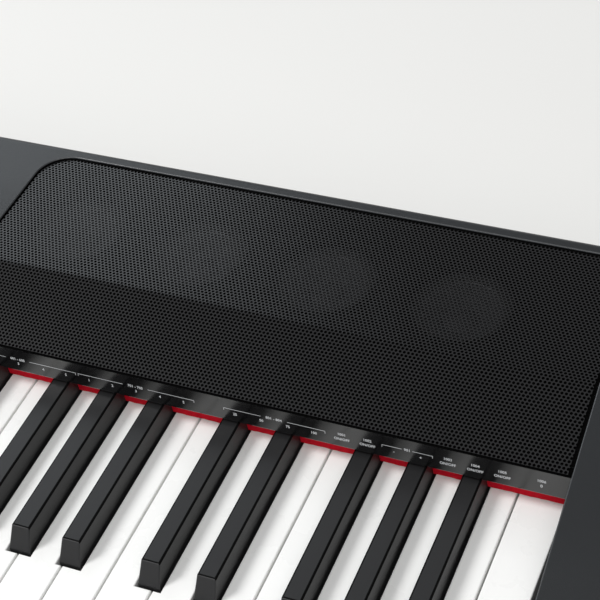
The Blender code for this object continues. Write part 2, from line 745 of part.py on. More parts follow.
def make_button(name, x):
    """A push button: its cap, the flange that keeps it under the panel, and its stem."""
    z_flange = CASE_TOP - PANEL_SHEET - SEAT
    axis = (x, Y_CONTROLS, CASE_TOP)
    z_low = z_flange - BUTTON_FLANGE_WALL
    piece = add(name, upright(button_outline(x, BUTTON_FLANGE), z_low, z_flange), axis)
    cap = upright(button_outline(x, 0), z_flange - BUTTON_FLANGE_WALL / 2, CASE_TOP + BUTTON_RISE)
    combine(piece, "cap", cap, "UNION")
    half = BUTTON_STEM / 2
    top = z_flange - BUTTON_FLANGE_WALL / 2
    stem = box(x - half, x + half, Y_CONTROLS - half, Y_CONTROLS + half, stem_bottom(), top)
    combine(piece, "stem", stem, "UNION")
    return finish(piece, "c9cacc", 0.4)


def make_main_board():
    """The board with the sound engine and the switches, on posts under the control panel."""
    outline = panel_outline(-BOARD_OVERHANG)
    piece = add("main_board", upright(outline, BOARD_TOP - BOARD_WALL, BOARD_TOP))
    return finish(piece, "1f5a34", 0.5)


def make_key_chassis():
    """The frame that carries the keys: a channel on legs, with the rib under the pivot bar."""
    top = CHASSIS_BASE + CHASSIS_WALL
    y_front = Y_KEY_FRONT + CHASSIS_FRONT
    y_back = Y_TAIL + 2 * RAIL_DEPTH + RAIL_SPACE + 2 * LEG_WALL
    leg_end = FLOOR_TOP + SEAT
    y_stop = Y_PIVOT - STOP_REACH
    y_contact = Y_PIVOT - CONTACT_REACH
    half_rib = RIB_WALL / 2
    rib_top = Z_PIVOT - BAR_RADIUS - SEAT
    section = [
        (y_front, leg_end), (y_front, top), (y_stop, top), (y_stop, stop_seat()),
        (y_stop + STOP_WIDTH, stop_seat()), (y_stop + STOP_WIDTH, top),
        (y_contact - CONTACT_WIDTH / 2, top), (y_contact - CONTACT_WIDTH / 2, contact_seat()),
        (y_contact + CONTACT_WIDTH / 2, contact_seat()), (y_contact + CONTACT_WIDTH / 2, top),
        (Y_PIVOT - half_rib, top), (Y_PIVOT - half_rib, rib_top), (Y_PIVOT + half_rib, rib_top),
        (Y_PIVOT + half_rib, top), (y_back, top), (y_back, leg_end), (y_back - LEG_WALL, leg_end),
        (y_back - LEG_WALL, CHASSIS_BASE), (y_contact + LEG_WALL, CHASSIS_BASE),
        (y_contact + LEG_WALL, leg_end), (y_contact, leg_end), (y_contact, CHASSIS_BASE),
        (y_front + LEG_WALL, CHASSIS_BASE), (y_front + LEG_WALL, leg_end),
    ]
    return finish(add("key_chassis", along_x(section, -KEYS_HALF, KEYS_HALF)), "3a3a3a", 0.6)


def pressed_underside(reach):
    """The height of a key's underside this far in front of the pivot, at full dip."""
    return KEY_BOTTOM - reach * math.tan(DIP_ANGLE)


def stop_seat():
    """The ledge under the stop felt, which a pressed key just reaches."""
    return pressed_underside(STOP_REACH) - 2 * SEAT - STOP_FELT_THICK


def contact_seat():
    """The ledge under the contact board, whose pads a pressed key just reaches."""
    reach = CONTACT_REACH + CONTACT_WIDTH / 2
    return pressed_underside(reach) - 3 * SEAT - CONTACT_PAD - BOARD_WALL


def make_stop_felt():
    y_low = Y_PIVOT - STOP_REACH
    z_low = stop_seat() + SEAT
    felt = box(-KEYS_HALF, KEYS_HALF, y_low, y_low + STOP_WIDTH, z_low, z_low + STOP_FELT_THICK - SEAT)
    return finish(add("stop_felt", felt), "5b5f58", 0.95)


def make_contacts():
    """The contact board and, on it, the rubber strip at the height of its pressed pads."""
    y_mid = Y_PIVOT - CONTACT_REACH
    z_board = contact_seat() + SEAT
    half_board = CONTACT_BOARD_WIDTH / 2
    board = box(-KEYS_HALF, KEYS_HALF, y_mid - half_board, y_mid + half_board, z_board, z_board + BOARD_WALL)
    finish(add("contact_board", board), "2a4a2c", 0.5)
    z_pad = z_board + BOARD_WALL + SEAT
    half = CONTACT_WIDTH / 2
    section = [
        (y_mid - half, z_pad), (y_mid + half, z_pad), (y_mid + half, z_pad + CONTACT_PAD / 3),
        (y_mid + half / 2, z_pad + CONTACT_PAD), (y_mid - half / 2, z_pad + CONTACT_PAD),
        (y_mid - half, z_pad + CONTACT_PAD / 3),
    ]
    finish(add("contact_strip", along_x(section, -KEYS_HALF, KEYS_HALF)), "c9c9c4", 0.8)


def make_pivot_rail():
    """The steel bar that the tails of the keys rock on."""
    section = [(Y_PIVOT + y, Z_PIVOT + z) for y, z in ring(0, 0, BAR_RADIUS, BAR_SIDES)]
    piece = add("pivot_rail", along_x(section, -KEYS_HALF, KEYS_HALF), smooth=True)
    return finish(piece, "b5b7ba", 0.3, 1.0)


def make_feet():
    for name, side in sides():
        for row, y in (("front", Y_FRONT + FOOT_INSET_Y), ("back", Y_BACK - FOOT_INSET_Y)):
            profile = [
                (0, 0), (FOOT_WAIST, 0), (FOOT_RADIUS, FOOT_TAPER), (FOOT_RADIUS, FOOT_HEIGHT - SEAT),
                (0, FOOT_HEIGHT - SEAT),
            ]
            foot = turned(profile, side * (CASE_HALF - FOOT_INSET_X), y, 0, FOOT_SIDES)
            finish(add(f"foot_{row}_{name}", foot, smooth=True), "141414", 0.9)


def is_white(note):
    return note % 12 in WHITE_STEPS


def octave_left(note):
    """The left edge of the C of this note's octave."""
    return -KEYS_HALF + (7 * (note // 12 - 1) - 5) * WHITE_PITCH


def black_centre(note):
    return octave_left(note) + BLACK_CENTRES[note % 12] * WHITE_PITCH


def note_name(note):
    """For instance C8 or F6_sharp."""
    letter, *sharp = NOTE_LETTERS[note % 12].split("_")
    return "_".join([f"{letter}{note // 12 - 1}", *sharp])


def white_outline(note):
    """The plan of a white key, notched beside the black keys next to it."""
    left = octave_left(note) + WHITE_STEPS[note % 12] * WHITE_PITCH + WHITE_GAP / 2
    right = left + WHITE_PITCH - WHITE_GAP
    slot = BLACK_BASE / 2 + SLOT_PLAY
    notch = Y_PANEL - BLACK_LENGTH - NOTCH_PLAY
    hook = Y_TAIL - 2 * KEY_WALL
    tail_left = left
    tail_right = right
    if note > FIRST_NOTE and not is_white(note - 1):
        tail_left = black_centre(note - 1) + slot
    if note < LAST_NOTE and not is_white(note + 1):
        tail_right = black_centre(note + 1) - slot
    outline = [(left, Y_KEY_FRONT), (right, Y_KEY_FRONT), (right, notch)]
    if tail_right < right:
        outline.append((tail_right, notch))
    outline += [(tail_right, hook), (tail_right, Y_TAIL), (tail_left, Y_TAIL), (tail_left, hook)]
    if tail_left > left:
        outline.append((tail_left, notch))
    outline.append((left, notch))
    return outline


def hollow_below(bm, face, height):
    """Sink a pocket into a face that looks down, and return the corners of its mouth."""
    bmesh.ops.inset_region(bm, faces=[face], thickness=KEY_WALL, use_even_offset=True)
    mouth = list(face.verts)
    roof = bmesh.ops.extrude_discrete_faces(bm, faces=[face])["faces"][0]
    bmesh.ops.translate(bm, vec=(0, 0, height), verts=roof.verts)
    return mouth


def white_key(note):
    """A hollow key with a deeper front wall and a hook behind the pivot bar."""
    bm = upright(white_outline(note), KEY_BOTTOM, KEY_TOP)
    bmesh.ops.recalc_face_normals(bm, faces=bm.faces)
    bm.normal_update()
    bottom = next(face for face in bm.faces if face.normal.z < -0.5)
    rim = list(bottom.verts)
    rim += hollow_below(bm, bottom, WHITE_BODY - KEY_WALL)
    for vert in rim:
        if vert.co.y < Y_KEY_FRONT + KEY_WALL + SEAT:
            vert.co.z -= WHITE_LIP - WHITE_BODY
        if vert.co.y > Y_TAIL - KEY_WALL - SEAT:
            vert.co.z -= HOOK_DROP
    return bm


def black_key(note, in_comb):
    """A hollow key with a tapered cap, on a lower shank that runs back to the pivot bar."""
    front = Y_PANEL - BLACK_LENGTH
    cap_back = Y_PANEL + BLACK_UNDER_PANEL
    hook = Y_TAIL - 2 * KEY_WALL
    hook_end = KEY_BOTTOM - HOOK_DROP
    section = [
        (front, KEY_BOTTOM), (front, KEY_TOP), (front + BLACK_NOSE, BLACK_TOP), (cap_back, BLACK_TOP),
        (cap_back, SHANK_TOP),
    ]
    if in_comb:
        # A low tongue passes under the white keys' rail and reaches the black keys' own.
        y_tongue = Y_TAIL - TONGUE_LEAD
        y_end = Y_TAIL + RAIL_DEPTH + RAIL_SPACE + TONGUE_OVERLAP
        z_tongue = KEY_BOTTOM + TONGUE_HEIGHT
        section += [
            (y_tongue, SHANK_TOP), (y_tongue, z_tongue), (y_end, z_tongue), (y_end, KEY_BOTTOM),
            (Y_TAIL, KEY_BOTTOM),
        ]
    else:
        section.append((Y_TAIL, SHANK_TOP))
    section += [(Y_TAIL, hook_end), (Y_TAIL - KEY_WALL, hook_end), (hook, KEY_BOTTOM)]
    centre = black_centre(note)
    bm = along_x(section, -BLACK_BASE / 2, BLACK_BASE / 2)
    bmesh.ops.recalc_face_normals(bm, faces=bm.faces)
    bm.normal_update()
    low = [face for face in bm.faces if face.normal.z < -0.9]
    hollow_below(bm, max(low, key=lambda face: face.calc_area()), WHITE_BODY - SHANK_DROP - KEY_WALL)
    for vert in bm.verts:
        if vert.co.z > KEY_TOP + SEAT:
            vert.co.x *= BLACK_TOP_WIDTH / BLACK_BASE
    bmesh.ops.translate(bm, vec=(centre, 0, 0), verts=bm.verts)
    return bm


def make_single_keys():
    for note in range(FIRST_SINGLE_NOTE, LAST_NOTE + 1):
        if is_white(note):
            axis_x = octave_left(note) + (WHITE_STEPS[note % 12] + 0.5) * WHITE_PITCH
            piece = add("white_key_" + note_name(note), white_key(note), (axis_x, Y_PIVOT, Z_PIVOT))
            finish(piece, "f2efe8", 0.2)
        else:
            axis = (black_centre(note), Y_PIVOT, Z_PIVOT)
            piece = add("black_key_" + note_name(note), black_key(note, False), axis)
            finish(piece, "26272a", 0.5)


def key_extent(note):
    """The X reach of a key at its tail."""
    if is_white(note):
        across = [x for x, y in white_outline(note) if y > Y_PIVOT]
        return min(across), max(across)
    return black_centre(note) - BLACK_BASE / 2, black_centre(note) + BLACK_BASE / 2


def make_comb(name, notes, rail, colour, roughness):
    """Keys joined by the moulded rail behind their tails."""
    x_low = key_extent(notes[0])[0]
    x_high = key_extent(notes[-1])[1]
    axis = ((x_low + x_high) / 2, Y_PIVOT, Z_PIVOT)
    piece = add(name, box(x_low, x_high, *rail), axis)
    for note in notes:
        key = white_key(note) if is_white(note) else black_key(note, True)
        combine(piece, note_name(note), key, "UNION")
    return finish(piece, colour, roughness)


def make_combs():
    """The other keys, in three groups of white keys and three of black."""
    rail_top = KEY_TOP - RAIL_TOP_DROP
    white_back = Y_TAIL + RAIL_DEPTH
    white_rail = (Y_TAIL - RAIL_BITE, white_back, rail_top - WHITE_RAIL_HEIGHT, rail_top)
    black_front = white_back + RAIL_SPACE
    black_rail = (black_front, black_front + RAIL_DEPTH, KEY_BOTTOM - SEAT, KEY_BOTTOM + BLACK_RAIL_HEIGHT)
    ends = [start for _, start in COMB_STARTS[1:]] + [FIRST_SINGLE_NOTE]
    for (name, start), end in zip(COMB_STARTS, ends):
        notes = range(start, end)
        white = [note for note in notes if is_white(note)]
        black = [note for note in notes if not is_white(note)]
        make_comb("white_keys_" + name, white, white_rail, "f2efe8", 0.2)
        make_comb("black_keys_" + name, black, black_rail, "26272a", 0.5)


make_top_case()
make_bottom_case()
make_front_rail()
make_function_strip()
make_felt_strip()
for side_name, side_sign in sides():
    make_grille(side_name, side_sign)
    for place, speaker_x in enumerate(speaker_places(side_sign), 1):
        make_speaker(f"{side_name}_speaker_{place}", speaker_x)
make_control_panel()
make_display_window()
make_volume_knob()
make_power_button()
for button_name, button_x in button_places():
    make_button(button_name, button_x)
make_main_board()
make_jack_board()
make_key_chassis()
make_pivot_rail()
make_stop_felt()
make_contacts()
make_feet()
make_combs()
make_single_keys()
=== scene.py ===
import math

import bmesh
import bpy
from mathutils import Matrix, Vector


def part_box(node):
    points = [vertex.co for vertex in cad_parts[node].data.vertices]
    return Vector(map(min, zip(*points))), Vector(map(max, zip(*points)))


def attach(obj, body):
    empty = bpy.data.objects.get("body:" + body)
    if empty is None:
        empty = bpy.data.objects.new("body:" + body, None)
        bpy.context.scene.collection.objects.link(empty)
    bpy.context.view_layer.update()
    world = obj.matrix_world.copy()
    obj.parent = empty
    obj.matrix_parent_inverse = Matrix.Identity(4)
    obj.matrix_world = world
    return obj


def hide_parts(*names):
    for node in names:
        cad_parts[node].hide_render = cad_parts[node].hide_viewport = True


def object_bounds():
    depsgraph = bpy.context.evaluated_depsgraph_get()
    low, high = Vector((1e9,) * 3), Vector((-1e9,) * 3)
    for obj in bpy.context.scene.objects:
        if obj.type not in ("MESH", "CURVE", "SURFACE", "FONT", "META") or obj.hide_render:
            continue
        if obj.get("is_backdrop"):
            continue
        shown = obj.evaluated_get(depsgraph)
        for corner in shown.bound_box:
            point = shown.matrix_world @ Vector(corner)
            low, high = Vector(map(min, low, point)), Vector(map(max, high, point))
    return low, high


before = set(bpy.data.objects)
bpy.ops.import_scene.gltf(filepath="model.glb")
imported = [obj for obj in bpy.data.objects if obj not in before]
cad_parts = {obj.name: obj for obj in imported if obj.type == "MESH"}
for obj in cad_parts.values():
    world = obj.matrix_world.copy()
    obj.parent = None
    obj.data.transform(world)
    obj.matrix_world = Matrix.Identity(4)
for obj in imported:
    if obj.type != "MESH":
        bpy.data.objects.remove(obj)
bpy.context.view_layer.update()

# The view
# The treble end of the piano is seen from the front right and from above, through a long lens that is
# turned a little.
lens = bpy.data.cameras.new("view")
lens.lens = 102.0
lens.sensor_width = 36.0
camera = bpy.data.objects.new("view", lens)
bpy.context.scene.collection.objects.link(camera)
bpy.context.scene.camera = camera
bpy.context.scene.view_settings.view_transform = "Standard"
standpoint = Vector((0.75137, -0.47149, 0.68840))
turn, tilt, lean = -0.48594, 0.74701, -0.14152
ahead = Vector((math.sin(turn) * math.cos(tilt), math.cos(turn) * math.cos(tilt), -math.sin(tilt)))
level_right = Vector((math.cos(turn), -math.sin(turn), 0.0))
level_up = level_right.cross(ahead)
right = math.cos(lean) * level_right + math.sin(lean) * level_up
up = math.cos(lean) * level_up - math.sin(lean) * level_right
facing = Matrix((right, up, -ahead)).transposed().to_4x4()
camera.matrix_world = Matrix.Translation(standpoint) @ facing

# The floor and the light
# A wide, pale studio floor. The main softbox stands on the bass side, so the black keys throw their shadows
# to the right. A large one fills from the front, and a faint, bluish one behind the bass end greys the top.
FLOOR_HALF = 6.0
FLOOR_DROP = 0.0002
lit_spot = Vector((0.30, 0.05, 0.10))


def linear(colour):
    """An sRGB hex colour as the linear values that shaders take."""
    channels = [int(colour[i:i + 2], 16) / 255 for i in (1, 3, 5)]
    return (*(c / 12.92 if c <= 0.04045 else ((c + 0.055) / 1.055) ** 2.4 for c in channels), 1.0)


def add_node(owner, kind, inputs=None, **settings):
    """Add a node. inputs gives a socket, by name or number, a value or the output that feeds it."""
    node = owner.node_tree.nodes.new(kind)
    for setting, value in settings.items():
        setattr(node, setting, value)
    for socket, value in (inputs or {}).items():
        if isinstance(value, bpy.types.NodeSocket):
            owner.node_tree.links.new(value, node.inputs[socket])
        else:
            node.inputs[socket].default_value = value
    return node


def new_material(name):
    """A material without a shader yet, and the object's own coordinates to lay its patterns on."""
    material = bpy.data.materials.new(name)
    material.use_nodes = True
    material.node_tree.nodes.clear()
    return material, add_node(material, "ShaderNodeTexCoord").outputs["Object"]


def close_material(material, inputs):
    """Give a material the shader that its patterns feed."""
    shader = add_node(material, "ShaderNodeBsdfPrincipled", inputs)
    add_node(material, "ShaderNodeOutputMaterial", {"Surface": shader.outputs["BSDF"]})
    return material


floor_paint, place = new_material("matt_floor_paint")
patches = add_node(floor_paint, "ShaderNodeTexNoise", {"Vector": place, "Scale": 2.0, "Detail": 3.0})
paint_tint = add_node(
    floor_paint, "ShaderNodeMix", {0: patches.outputs["Fac"], 6: linear("#e9e8e5"), 7: linear("#e3e2df")},
    data_type="RGBA",
)
close_material(floor_paint, {"Base Color": paint_tint.outputs[2], "Roughness": 0.75})
bm = bmesh.new()
bmesh.ops.create_grid(bm, x_segments=1, y_segments=1, size=FLOOR_HALF)
bmesh.ops.translate(bm, vec=(0, 0, -FLOOR_DROP), verts=bm.verts)
floor_mesh = bpy.data.meshes.new("studio_floor")
bm.to_mesh(floor_mesh)
bm.free()
floor_mesh.materials.append(floor_paint)
floor = bpy.data.objects.new("studio_floor", floor_mesh)
bpy.context.scene.collection.objects.link(floor)
floor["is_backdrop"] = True

room = bpy.data.worlds.new("pale_room")
room.use_nodes = True
room.node_tree.nodes.clear()
air = add_node(room, "ShaderNodeBackground", {"Color": linear("#fbfcff"), "Strength": 0.36})
add_node(room, "ShaderNodeOutputWorld", {"Surface": air.outputs[0]})
bpy.context.scene.world = room

for name, direction, distance, size, watts, colour in (
    ("bass_softbox", (-0.56, -0.30, 0.77), 4.2, 1.2, 113.0, (1.0, 1.0, 1.0)),
    ("front_softbox", (0.25, -0.60, 0.76), 2.6, 2.0, 31.0, (1.0, 1.0, 0.99)),
    ("back_softbox", (-0.62, 0.62, 0.48), 2.6, 1.5, 13.0, (0.88, 0.95, 1.0)),
):
    lamp = bpy.data.lights.new(name, "AREA")
    lamp.size = size
    lamp.energy = watts
    lamp.color = colour
    softbox = bpy.data.objects.new(name, lamp)
    towards = Vector(direction).normalized()
    softbox.location = lit_spot + towards * distance
    softbox.rotation_mode = "QUATERNION"
    softbox.rotation_quaternion = towards.to_track_quat("Z", "Y")
    bpy.context.scene.collection.objects.link(softbox)

# The lower case
# A tray of black ABS, injection moulded, with windows for the rear sockets and round corners.
# Its outside has a fine spark-eroded grain that breaks up the shine.


def corners(node):
    """The lowest and highest corner of a node, in mm."""
    low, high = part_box(node)
    return low * 1000, high * 1000


def copy_of(node):
    """A CAD node's shape in mm, with its loose triangles joined into whole faces."""
    bm = bmesh.new()
    bm.from_mesh(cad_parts[node].data)
    bmesh.ops.scale(bm, vec=(1000, 1000, 1000), verts=bm.verts)
    bmesh.ops.remove_doubles(bm, verts=bm.verts, dist=0.01)
    bmesh.ops.dissolve_limit(bm, angle_limit=math.radians(0.5), verts=bm.verts, edges=bm.edges)
    return bm


def creases(bm, least=40.0):
    """The edges where two faces meet at more than this angle."""
    both = [edge for edge in bm.edges if len(edge.link_faces) == 2]
    return [edge for edge in both if edge.calc_face_angle() > math.radians(least)]


def round_edges(bm, edges, width, segments=3):
    """Round these edges, and return the faces that the rounding made."""
    return bmesh.ops.bevel(
        bm, geom=edges, offset=width, segments=segments, profile=0.5, affect="EDGES", material=-1,
        clamp_overlap=False,
    )["faces"]


def piece_from(name, bm, materials, seam=35.0, even=True):
    """Make a piece from a bmesh drawn in mm, in the piano's frame."""
    bmesh.ops.scale(bm, vec=(0.001, 0.001, 0.001), verts=bm.verts)
    mesh = bpy.data.meshes.new(name)
    bm.to_mesh(mesh)
    bm.free()
    for material in materials:
        mesh.materials.append(material)
    mesh.shade_smooth()
    mesh.set_sharp_from_angle(angle=math.radians(seam))
    piece = bpy.data.objects.new(name, mesh)
    bpy.context.scene.collection.objects.link(piece)
    if even:
        weighted = piece.modifiers.new("even_shading", "WEIGHTED_NORMAL")
        weighted.keep_sharp = True
    return piece


def moulded_plastic(name, dark, light, roughness, grain, relief, ior=1.5):
    """Injection-moulded plastic: clouded a little in colour and gloss, with an eroded grain of this size and
    depth in mm."""
    material, place = new_material(name)
    cloud = add_node(material, "ShaderNodeTexNoise", {"Vector": place, "Scale": 25.0, "Detail": 4.0})
    pores = add_node(material, "ShaderNodeTexNoise", {"Vector": place, "Scale": 1000 / grain, "Detail": 2.0})
    tint = add_node(
        material, "ShaderNodeMix", {0: cloud.outputs["Fac"], 6: linear(dark), 7: linear(light)},
        data_type="RGBA",
    )
    sheen = add_node(material, "ShaderNodeMapRange", {
        "Value": pores.outputs["Fac"], "From Min": 0.3, "From Max": 0.7,
        "To Min": roughness - 0.05, "To Max": roughness + 0.05,
    })
    bump = add_node(material, "ShaderNodeBump", {
        "Height": pores.outputs["Fac"], "Strength": 1.0, "Distance": relief / 1000,
    })
    return close_material(material, {
        "Base Color": tint.outputs[2], "Roughness": sheen.outputs[0], "Normal": bump.outputs[0], "IOR": ior,
    })


# Black ABS, spark-eroded: dull and slightly uneven.
base_abs = moulded_plastic("black_eroded_abs", "#151617", "#1d1e20", 0.55, 0.7, 0.03)
BASE_ROUND = 1.2
case_bottom = corners("bottom_case")[0].z
bm = copy_of("bottom_case")
base_edges = [edge for edge in creases(bm) if all(vert.co.z < case_bottom + 0.1 for vert in edge.verts)]
round_edges(bm, base_edges, BASE_ROUND)
lower_case = piece_from("lower_case", bm, [base_abs])
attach(lower_case, "piano_case")
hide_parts("bottom_case")

# The case screws
# Twelve pan-head screws of black zinc-plated steel, driven up into the upper case from below.
# Each head has a cross sunk into it.
SCREW_HEAD = 3.4
SCREW_SIDES = 24
SCREW_X = (-600, -360, -120, 120, 360, 600)
SCREW_Y = (-140, 80)
CROSS_REACH = 2.1
CROSS_WIDTH = 0.5
CROSS_DEPTH = 0.7
HEAD_TALL = 1.0
# How much wider each ring of the head is than the one before it, and its height.
HEAD_RINGS = ((1.2, -0.45), (1.04, -0.8), (1.0, -HEAD_TALL))


def scratched_metal(name, colour, scale, detail, sharpest, dullest):
    """Metal whose shine is broken by fine scratches, between these two roughnesses."""
    material, place = new_material(name)
    scratches = add_node(material, "ShaderNodeTexNoise", {"Vector": place, "Scale": scale, "Detail": detail})
    gloss = add_node(material, "ShaderNodeMapRange", {
        "Value": scratches.outputs["Fac"], "To Min": sharpest, "To Max": dullest,
    })
    return close_material(material, {
        "Base Color": linear(colour), "Metallic": 1.0, "Roughness": gloss.outputs[0],
    })


def verts_in(geom):
    """The points among what an operator gives back."""
    return [item for item in geom if isinstance(item, bmesh.types.BMVert)]


def open_edges_in(geom):
    """The edges with a face on one side only, among what an operator gives back."""
    return [item for item in geom if isinstance(item, bmesh.types.BMEdge) and item.is_boundary]


# Steel with black zinc plate: dark, with a broken metallic shine.
zinc = scratched_metal("black_zinc_steel", "#3a3b3e", 900.0, 3.0, 0.25, 0.5)
bm = bmesh.new()
rim = bmesh.ops.create_circle(bm, segments=SCREW_SIDES, radius=SCREW_HEAD * 0.8)["verts"]
rim_edges = list({edge for vert in rim for edge in vert.link_edges})
cross = []
for quarter in range(4):
    spin = Matrix.Rotation(quarter * math.pi / 2, 3, "Z")
    for x, y in ((CROSS_WIDTH, CROSS_WIDTH), (CROSS_REACH, CROSS_WIDTH), (CROSS_REACH, -CROSS_WIDTH)):
        cross.append(bm.verts.new(spin @ Vector((x, y, 0))))
# The corners in the order in which they follow each other round the cross.
cross = [cross[n] for n in (0, 1, 2, 9, 10, 11, 6, 7, 8, 3, 4, 5)]
cross_edges = [bm.edges.new((cross[n - 1], cross[n])) for n in range(12)]
bmesh.ops.triangle_fill(bm, use_beauty=True, edges=rim_edges + cross_edges)
sunk = bmesh.ops.extrude_edge_only(bm, edges=cross_edges)["geom"]
bmesh.ops.translate(bm, vec=(0, 0, -CROSS_DEPTH), verts=verts_in(sunk))
bmesh.ops.edgeloop_fill(bm, edges=open_edges_in(sunk))
for wider, low in HEAD_RINGS:
    skirt = bmesh.ops.extrude_edge_only(bm, edges=rim_edges)["geom"]
    ring = verts_in(skirt)
    rim_edges = open_edges_in(skirt)
    bmesh.ops.scale(bm, vec=(wider, wider, 1), verts=ring)
    for vert in ring:
        vert.co.z = low
bmesh.ops.edgeloop_fill(bm, edges=rim_edges)
bmesh.ops.recalc_face_normals(bm, faces=bm.faces)
bmesh.ops.rotate(bm, matrix=Matrix.Rotation(math.pi, 3, "X"), verts=bm.verts)
bmesh.ops.translate(bm, vec=(0, 0, case_bottom - HEAD_TALL), verts=bm.verts)
one_screw = bm.verts[:] + bm.edges[:] + bm.faces[:]
for x in SCREW_X:
    for y in SCREW_Y:
        made = bmesh.ops.duplicate(bm, geom=one_screw)["geom"]
        bmesh.ops.translate(bm, vec=(x, y, 0), verts=verts_in(made))
bmesh.ops.delete(bm, geom=verts_in(one_screw), context="VERTS")
screws = piece_from("case_screws", bm, [zinc])
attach(screws, "piano_case")

# The feet
# Four round feet of black rubber, pressed into the lower case.
# Two grooves run round the face that each stands on.
FOOT_SIDES = 48


def dull_surface(name, scale, detail, dark, light, roughness, relief):
    """A dull material with one pattern in both its colour and its relief, which is this deep in metres."""
    material, place = new_material(name)
    pattern = add_node(material, "ShaderNodeTexNoise", {"Vector": place, "Scale": scale, "Detail": detail})
    tint = add_node(
        material, "ShaderNodeMix", {0: pattern.outputs["Fac"], 6: linear(dark), 7: linear(light)},
        data_type="RGBA",
    )
    bump = add_node(material, "ShaderNodeBump", {"Height": pattern.outputs["Fac"], "Distance": relief})
    return close_material(material, {
        "Base Color": tint.outputs[2], "Roughness": roughness, "Normal": bump.outputs[0],
    })


def turned(profile, steps):
    """A solid of revolution about an upright axis, from (radius, height) points that start and end on it."""
    bm = bmesh.new()
    points = [bm.verts.new((radius, 0, height)) for radius, height in profile]
    edges = [bm.edges.new(pair) for pair in zip(points, points[1:])]
    bmesh.ops.spin(
        bm, geom=points + edges, cent=(0, 0, 0), axis=(0, 0, 1), angle=2 * math.pi, steps=steps,
        use_merge=True,
    )
    bmesh.ops.remove_doubles(bm, verts=bm.verts, dist=0.001)
    bmesh.ops.recalc_face_normals(bm, faces=bm.faces)
    return bm


# Black nitrile rubber, compression moulded: quite dull, with a dusty bloom.
foot_rubber = dull_surface("black_moulded_rubber", 400.0, 4.0, "#121212", "#1f1f1e", 0.85, 0.00003)
for node in ("foot_front_left", "foot_front_right", "foot_back_left", "foot_back_right"):
    low, high = corners(node)
    tall = high.z - low.z
    wide = (high.x - low.x) / 2
    bm = turned([
        (0, 0), (4.0, 0), (4.2, 0.5), (4.8, 0.5), (5.0, 0), (7.0, 0), (7.2, 0.5), (7.8, 0.5), (8.0, 0),
        (8.9, 0), (9.6, 0.25), (wide - 0.5, 1.0), (wide, 1.7), (wide, tall - 0.4), (wide - 0.4, tall),
        (0, tall),
    ], FOOT_SIDES)
    bmesh.ops.translate(bm, vec=((low.x + high.x) / 2, (low.y + high.y) / 2, low.z), verts=bm.verts)
    foot = piece_from(node + "_rubber", bm, [foot_rubber])
    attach(foot, "piano_case")
    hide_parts(node)

# The upper case
# One moulding of charcoal ABS: the flat top, the slope and both cheeks, with a recess for each grille.
# The mould leaves a fine grain outside. The rims of the recesses are slightly rounded and painted lighter, a
# painted highlight, and the deck under the grilles is painted shade.
FOLD_Y = 61.0
SLOPE = math.radians(17.1)
RECESS = 1.5
CHEEK_TOP = 80.0
CASE_ROUND = 12.1
WELL_GAP = 0.3
RIM_ROUND = 0.7
END_ROUND = 0.8
PANEL_RIM_ROUND = 0.4
PANEL_REACH = 200
DECK_X = 270
DECK_Y = 14
DECK_DEPTH = 0.8
case_top = corners("top_case")[1].z
grille_top = case_top - RECESS


def surface(y, depth=0.0):
    """The height of the case's slope or flat top at y, this deep under its skin."""
    slope = grille_top - (FOLD_Y - y) * math.tan(SLOPE) - (depth - RECESS) / math.cos(SLOPE)
    return min(case_top - depth, slope)


# Charcoal ABS, spark-eroded: a satin that greys over where it mirrors the light.
top_abs = moulded_plastic("charcoal_eroded_abs", "#181a1c", "#1f2123", 0.42, 0.6, 0.05)
# Near-black and dull on the deck under the grilles: painted shade, so that the holes look dark.
recess_painted_shade = moulded_plastic("black_painted_shade", "#040404", "#070707", 0.9, 0.5, 0.02, ior=1.1)
# The rims of the recesses: a little glossier than the case and painted lighter, a painted highlight line
# along each rim.
rim_highlight_abs = moulded_plastic("charcoal_abs_painted_highlight", "#2c2e30", "#343638", 0.33, 0.6, 0.003, ior=1.6)
bm = copy_of("top_case")
well_x = corners("function_strip")[1].x + WELL_GAP
case_x = corners("top_case")[1].x


def on_skin(vert):
    """Whether a point lies on the outside of the case's top."""
    return abs(vert.co.z - max(CHEEK_TOP, surface(vert.co.y))) < 0.05


def on_end(edge):
    """Whether an edge runs along the top of one of the case's ends, or round its corners."""
    slants = sorted(face.normal.z for face in edge.link_faces)
    outside = all(abs(vert.co.x) > case_x - CASE_ROUND and vert.co.z > 70 for vert in edge.verts)
    return outside and abs(slants[0]) < 0.02 and slants[1] > 0.2


def rims(bm, near_panel):
    """The edges round the openings in the outside: near the control panel, or everywhere else."""
    edges = [edge for edge in creases(bm) if all(on_skin(vert) for vert in edge.verts)]
    return [edge for edge in edges if near_panel == all(abs(v.co.x) < PANEL_REACH for v in edge.verts)]


# The rounded rims take the lighter material: a painted highlight line.
for face in round_edges(bm, [edge for edge in rims(bm, False) if not on_end(edge)], RIM_ROUND):
    face.material_index = 2
round_edges(bm, [edge for edge in creases(bm) if on_end(edge)], END_ROUND)
round_edges(bm, rims(bm, True), PANEL_RIM_ROUND, 2)
# The deck under the grilles takes the near-black material: painted shade.
for face in bm.faces:
    middle = face.calc_center_median()
    inside = DECK_X < abs(middle.x) < well_x and middle.y > DECK_Y
    if inside and middle.z < surface(middle.y, DECK_DEPTH):
        face.material_index = 1
upper_case = piece_from("upper_case", bm, [top_abs, recess_painted_shade, rim_highlight_abs])
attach(upper_case, "piano_case")
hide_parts("top_case")

# The key slip
# The rail in front of the keys, moulded in the same black ABS as the lower case and screwed in between the
# cheeks. Its edges along the keys are slightly rounded.
SLIP_BACK = -137
SLIP_ROUND = 0.5
bm = copy_of("front_rail")
slip_edges = [edge for edge in creases(bm, 60.0) if all(v.co.y > SLIP_BACK for v in edge.verts)]
round_edges(bm, slip_edges, SLIP_ROUND, 2)
key_slip = piece_from("key_slip", bm, [base_abs])
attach(key_slip, "piano_case")
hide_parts("front_rail")

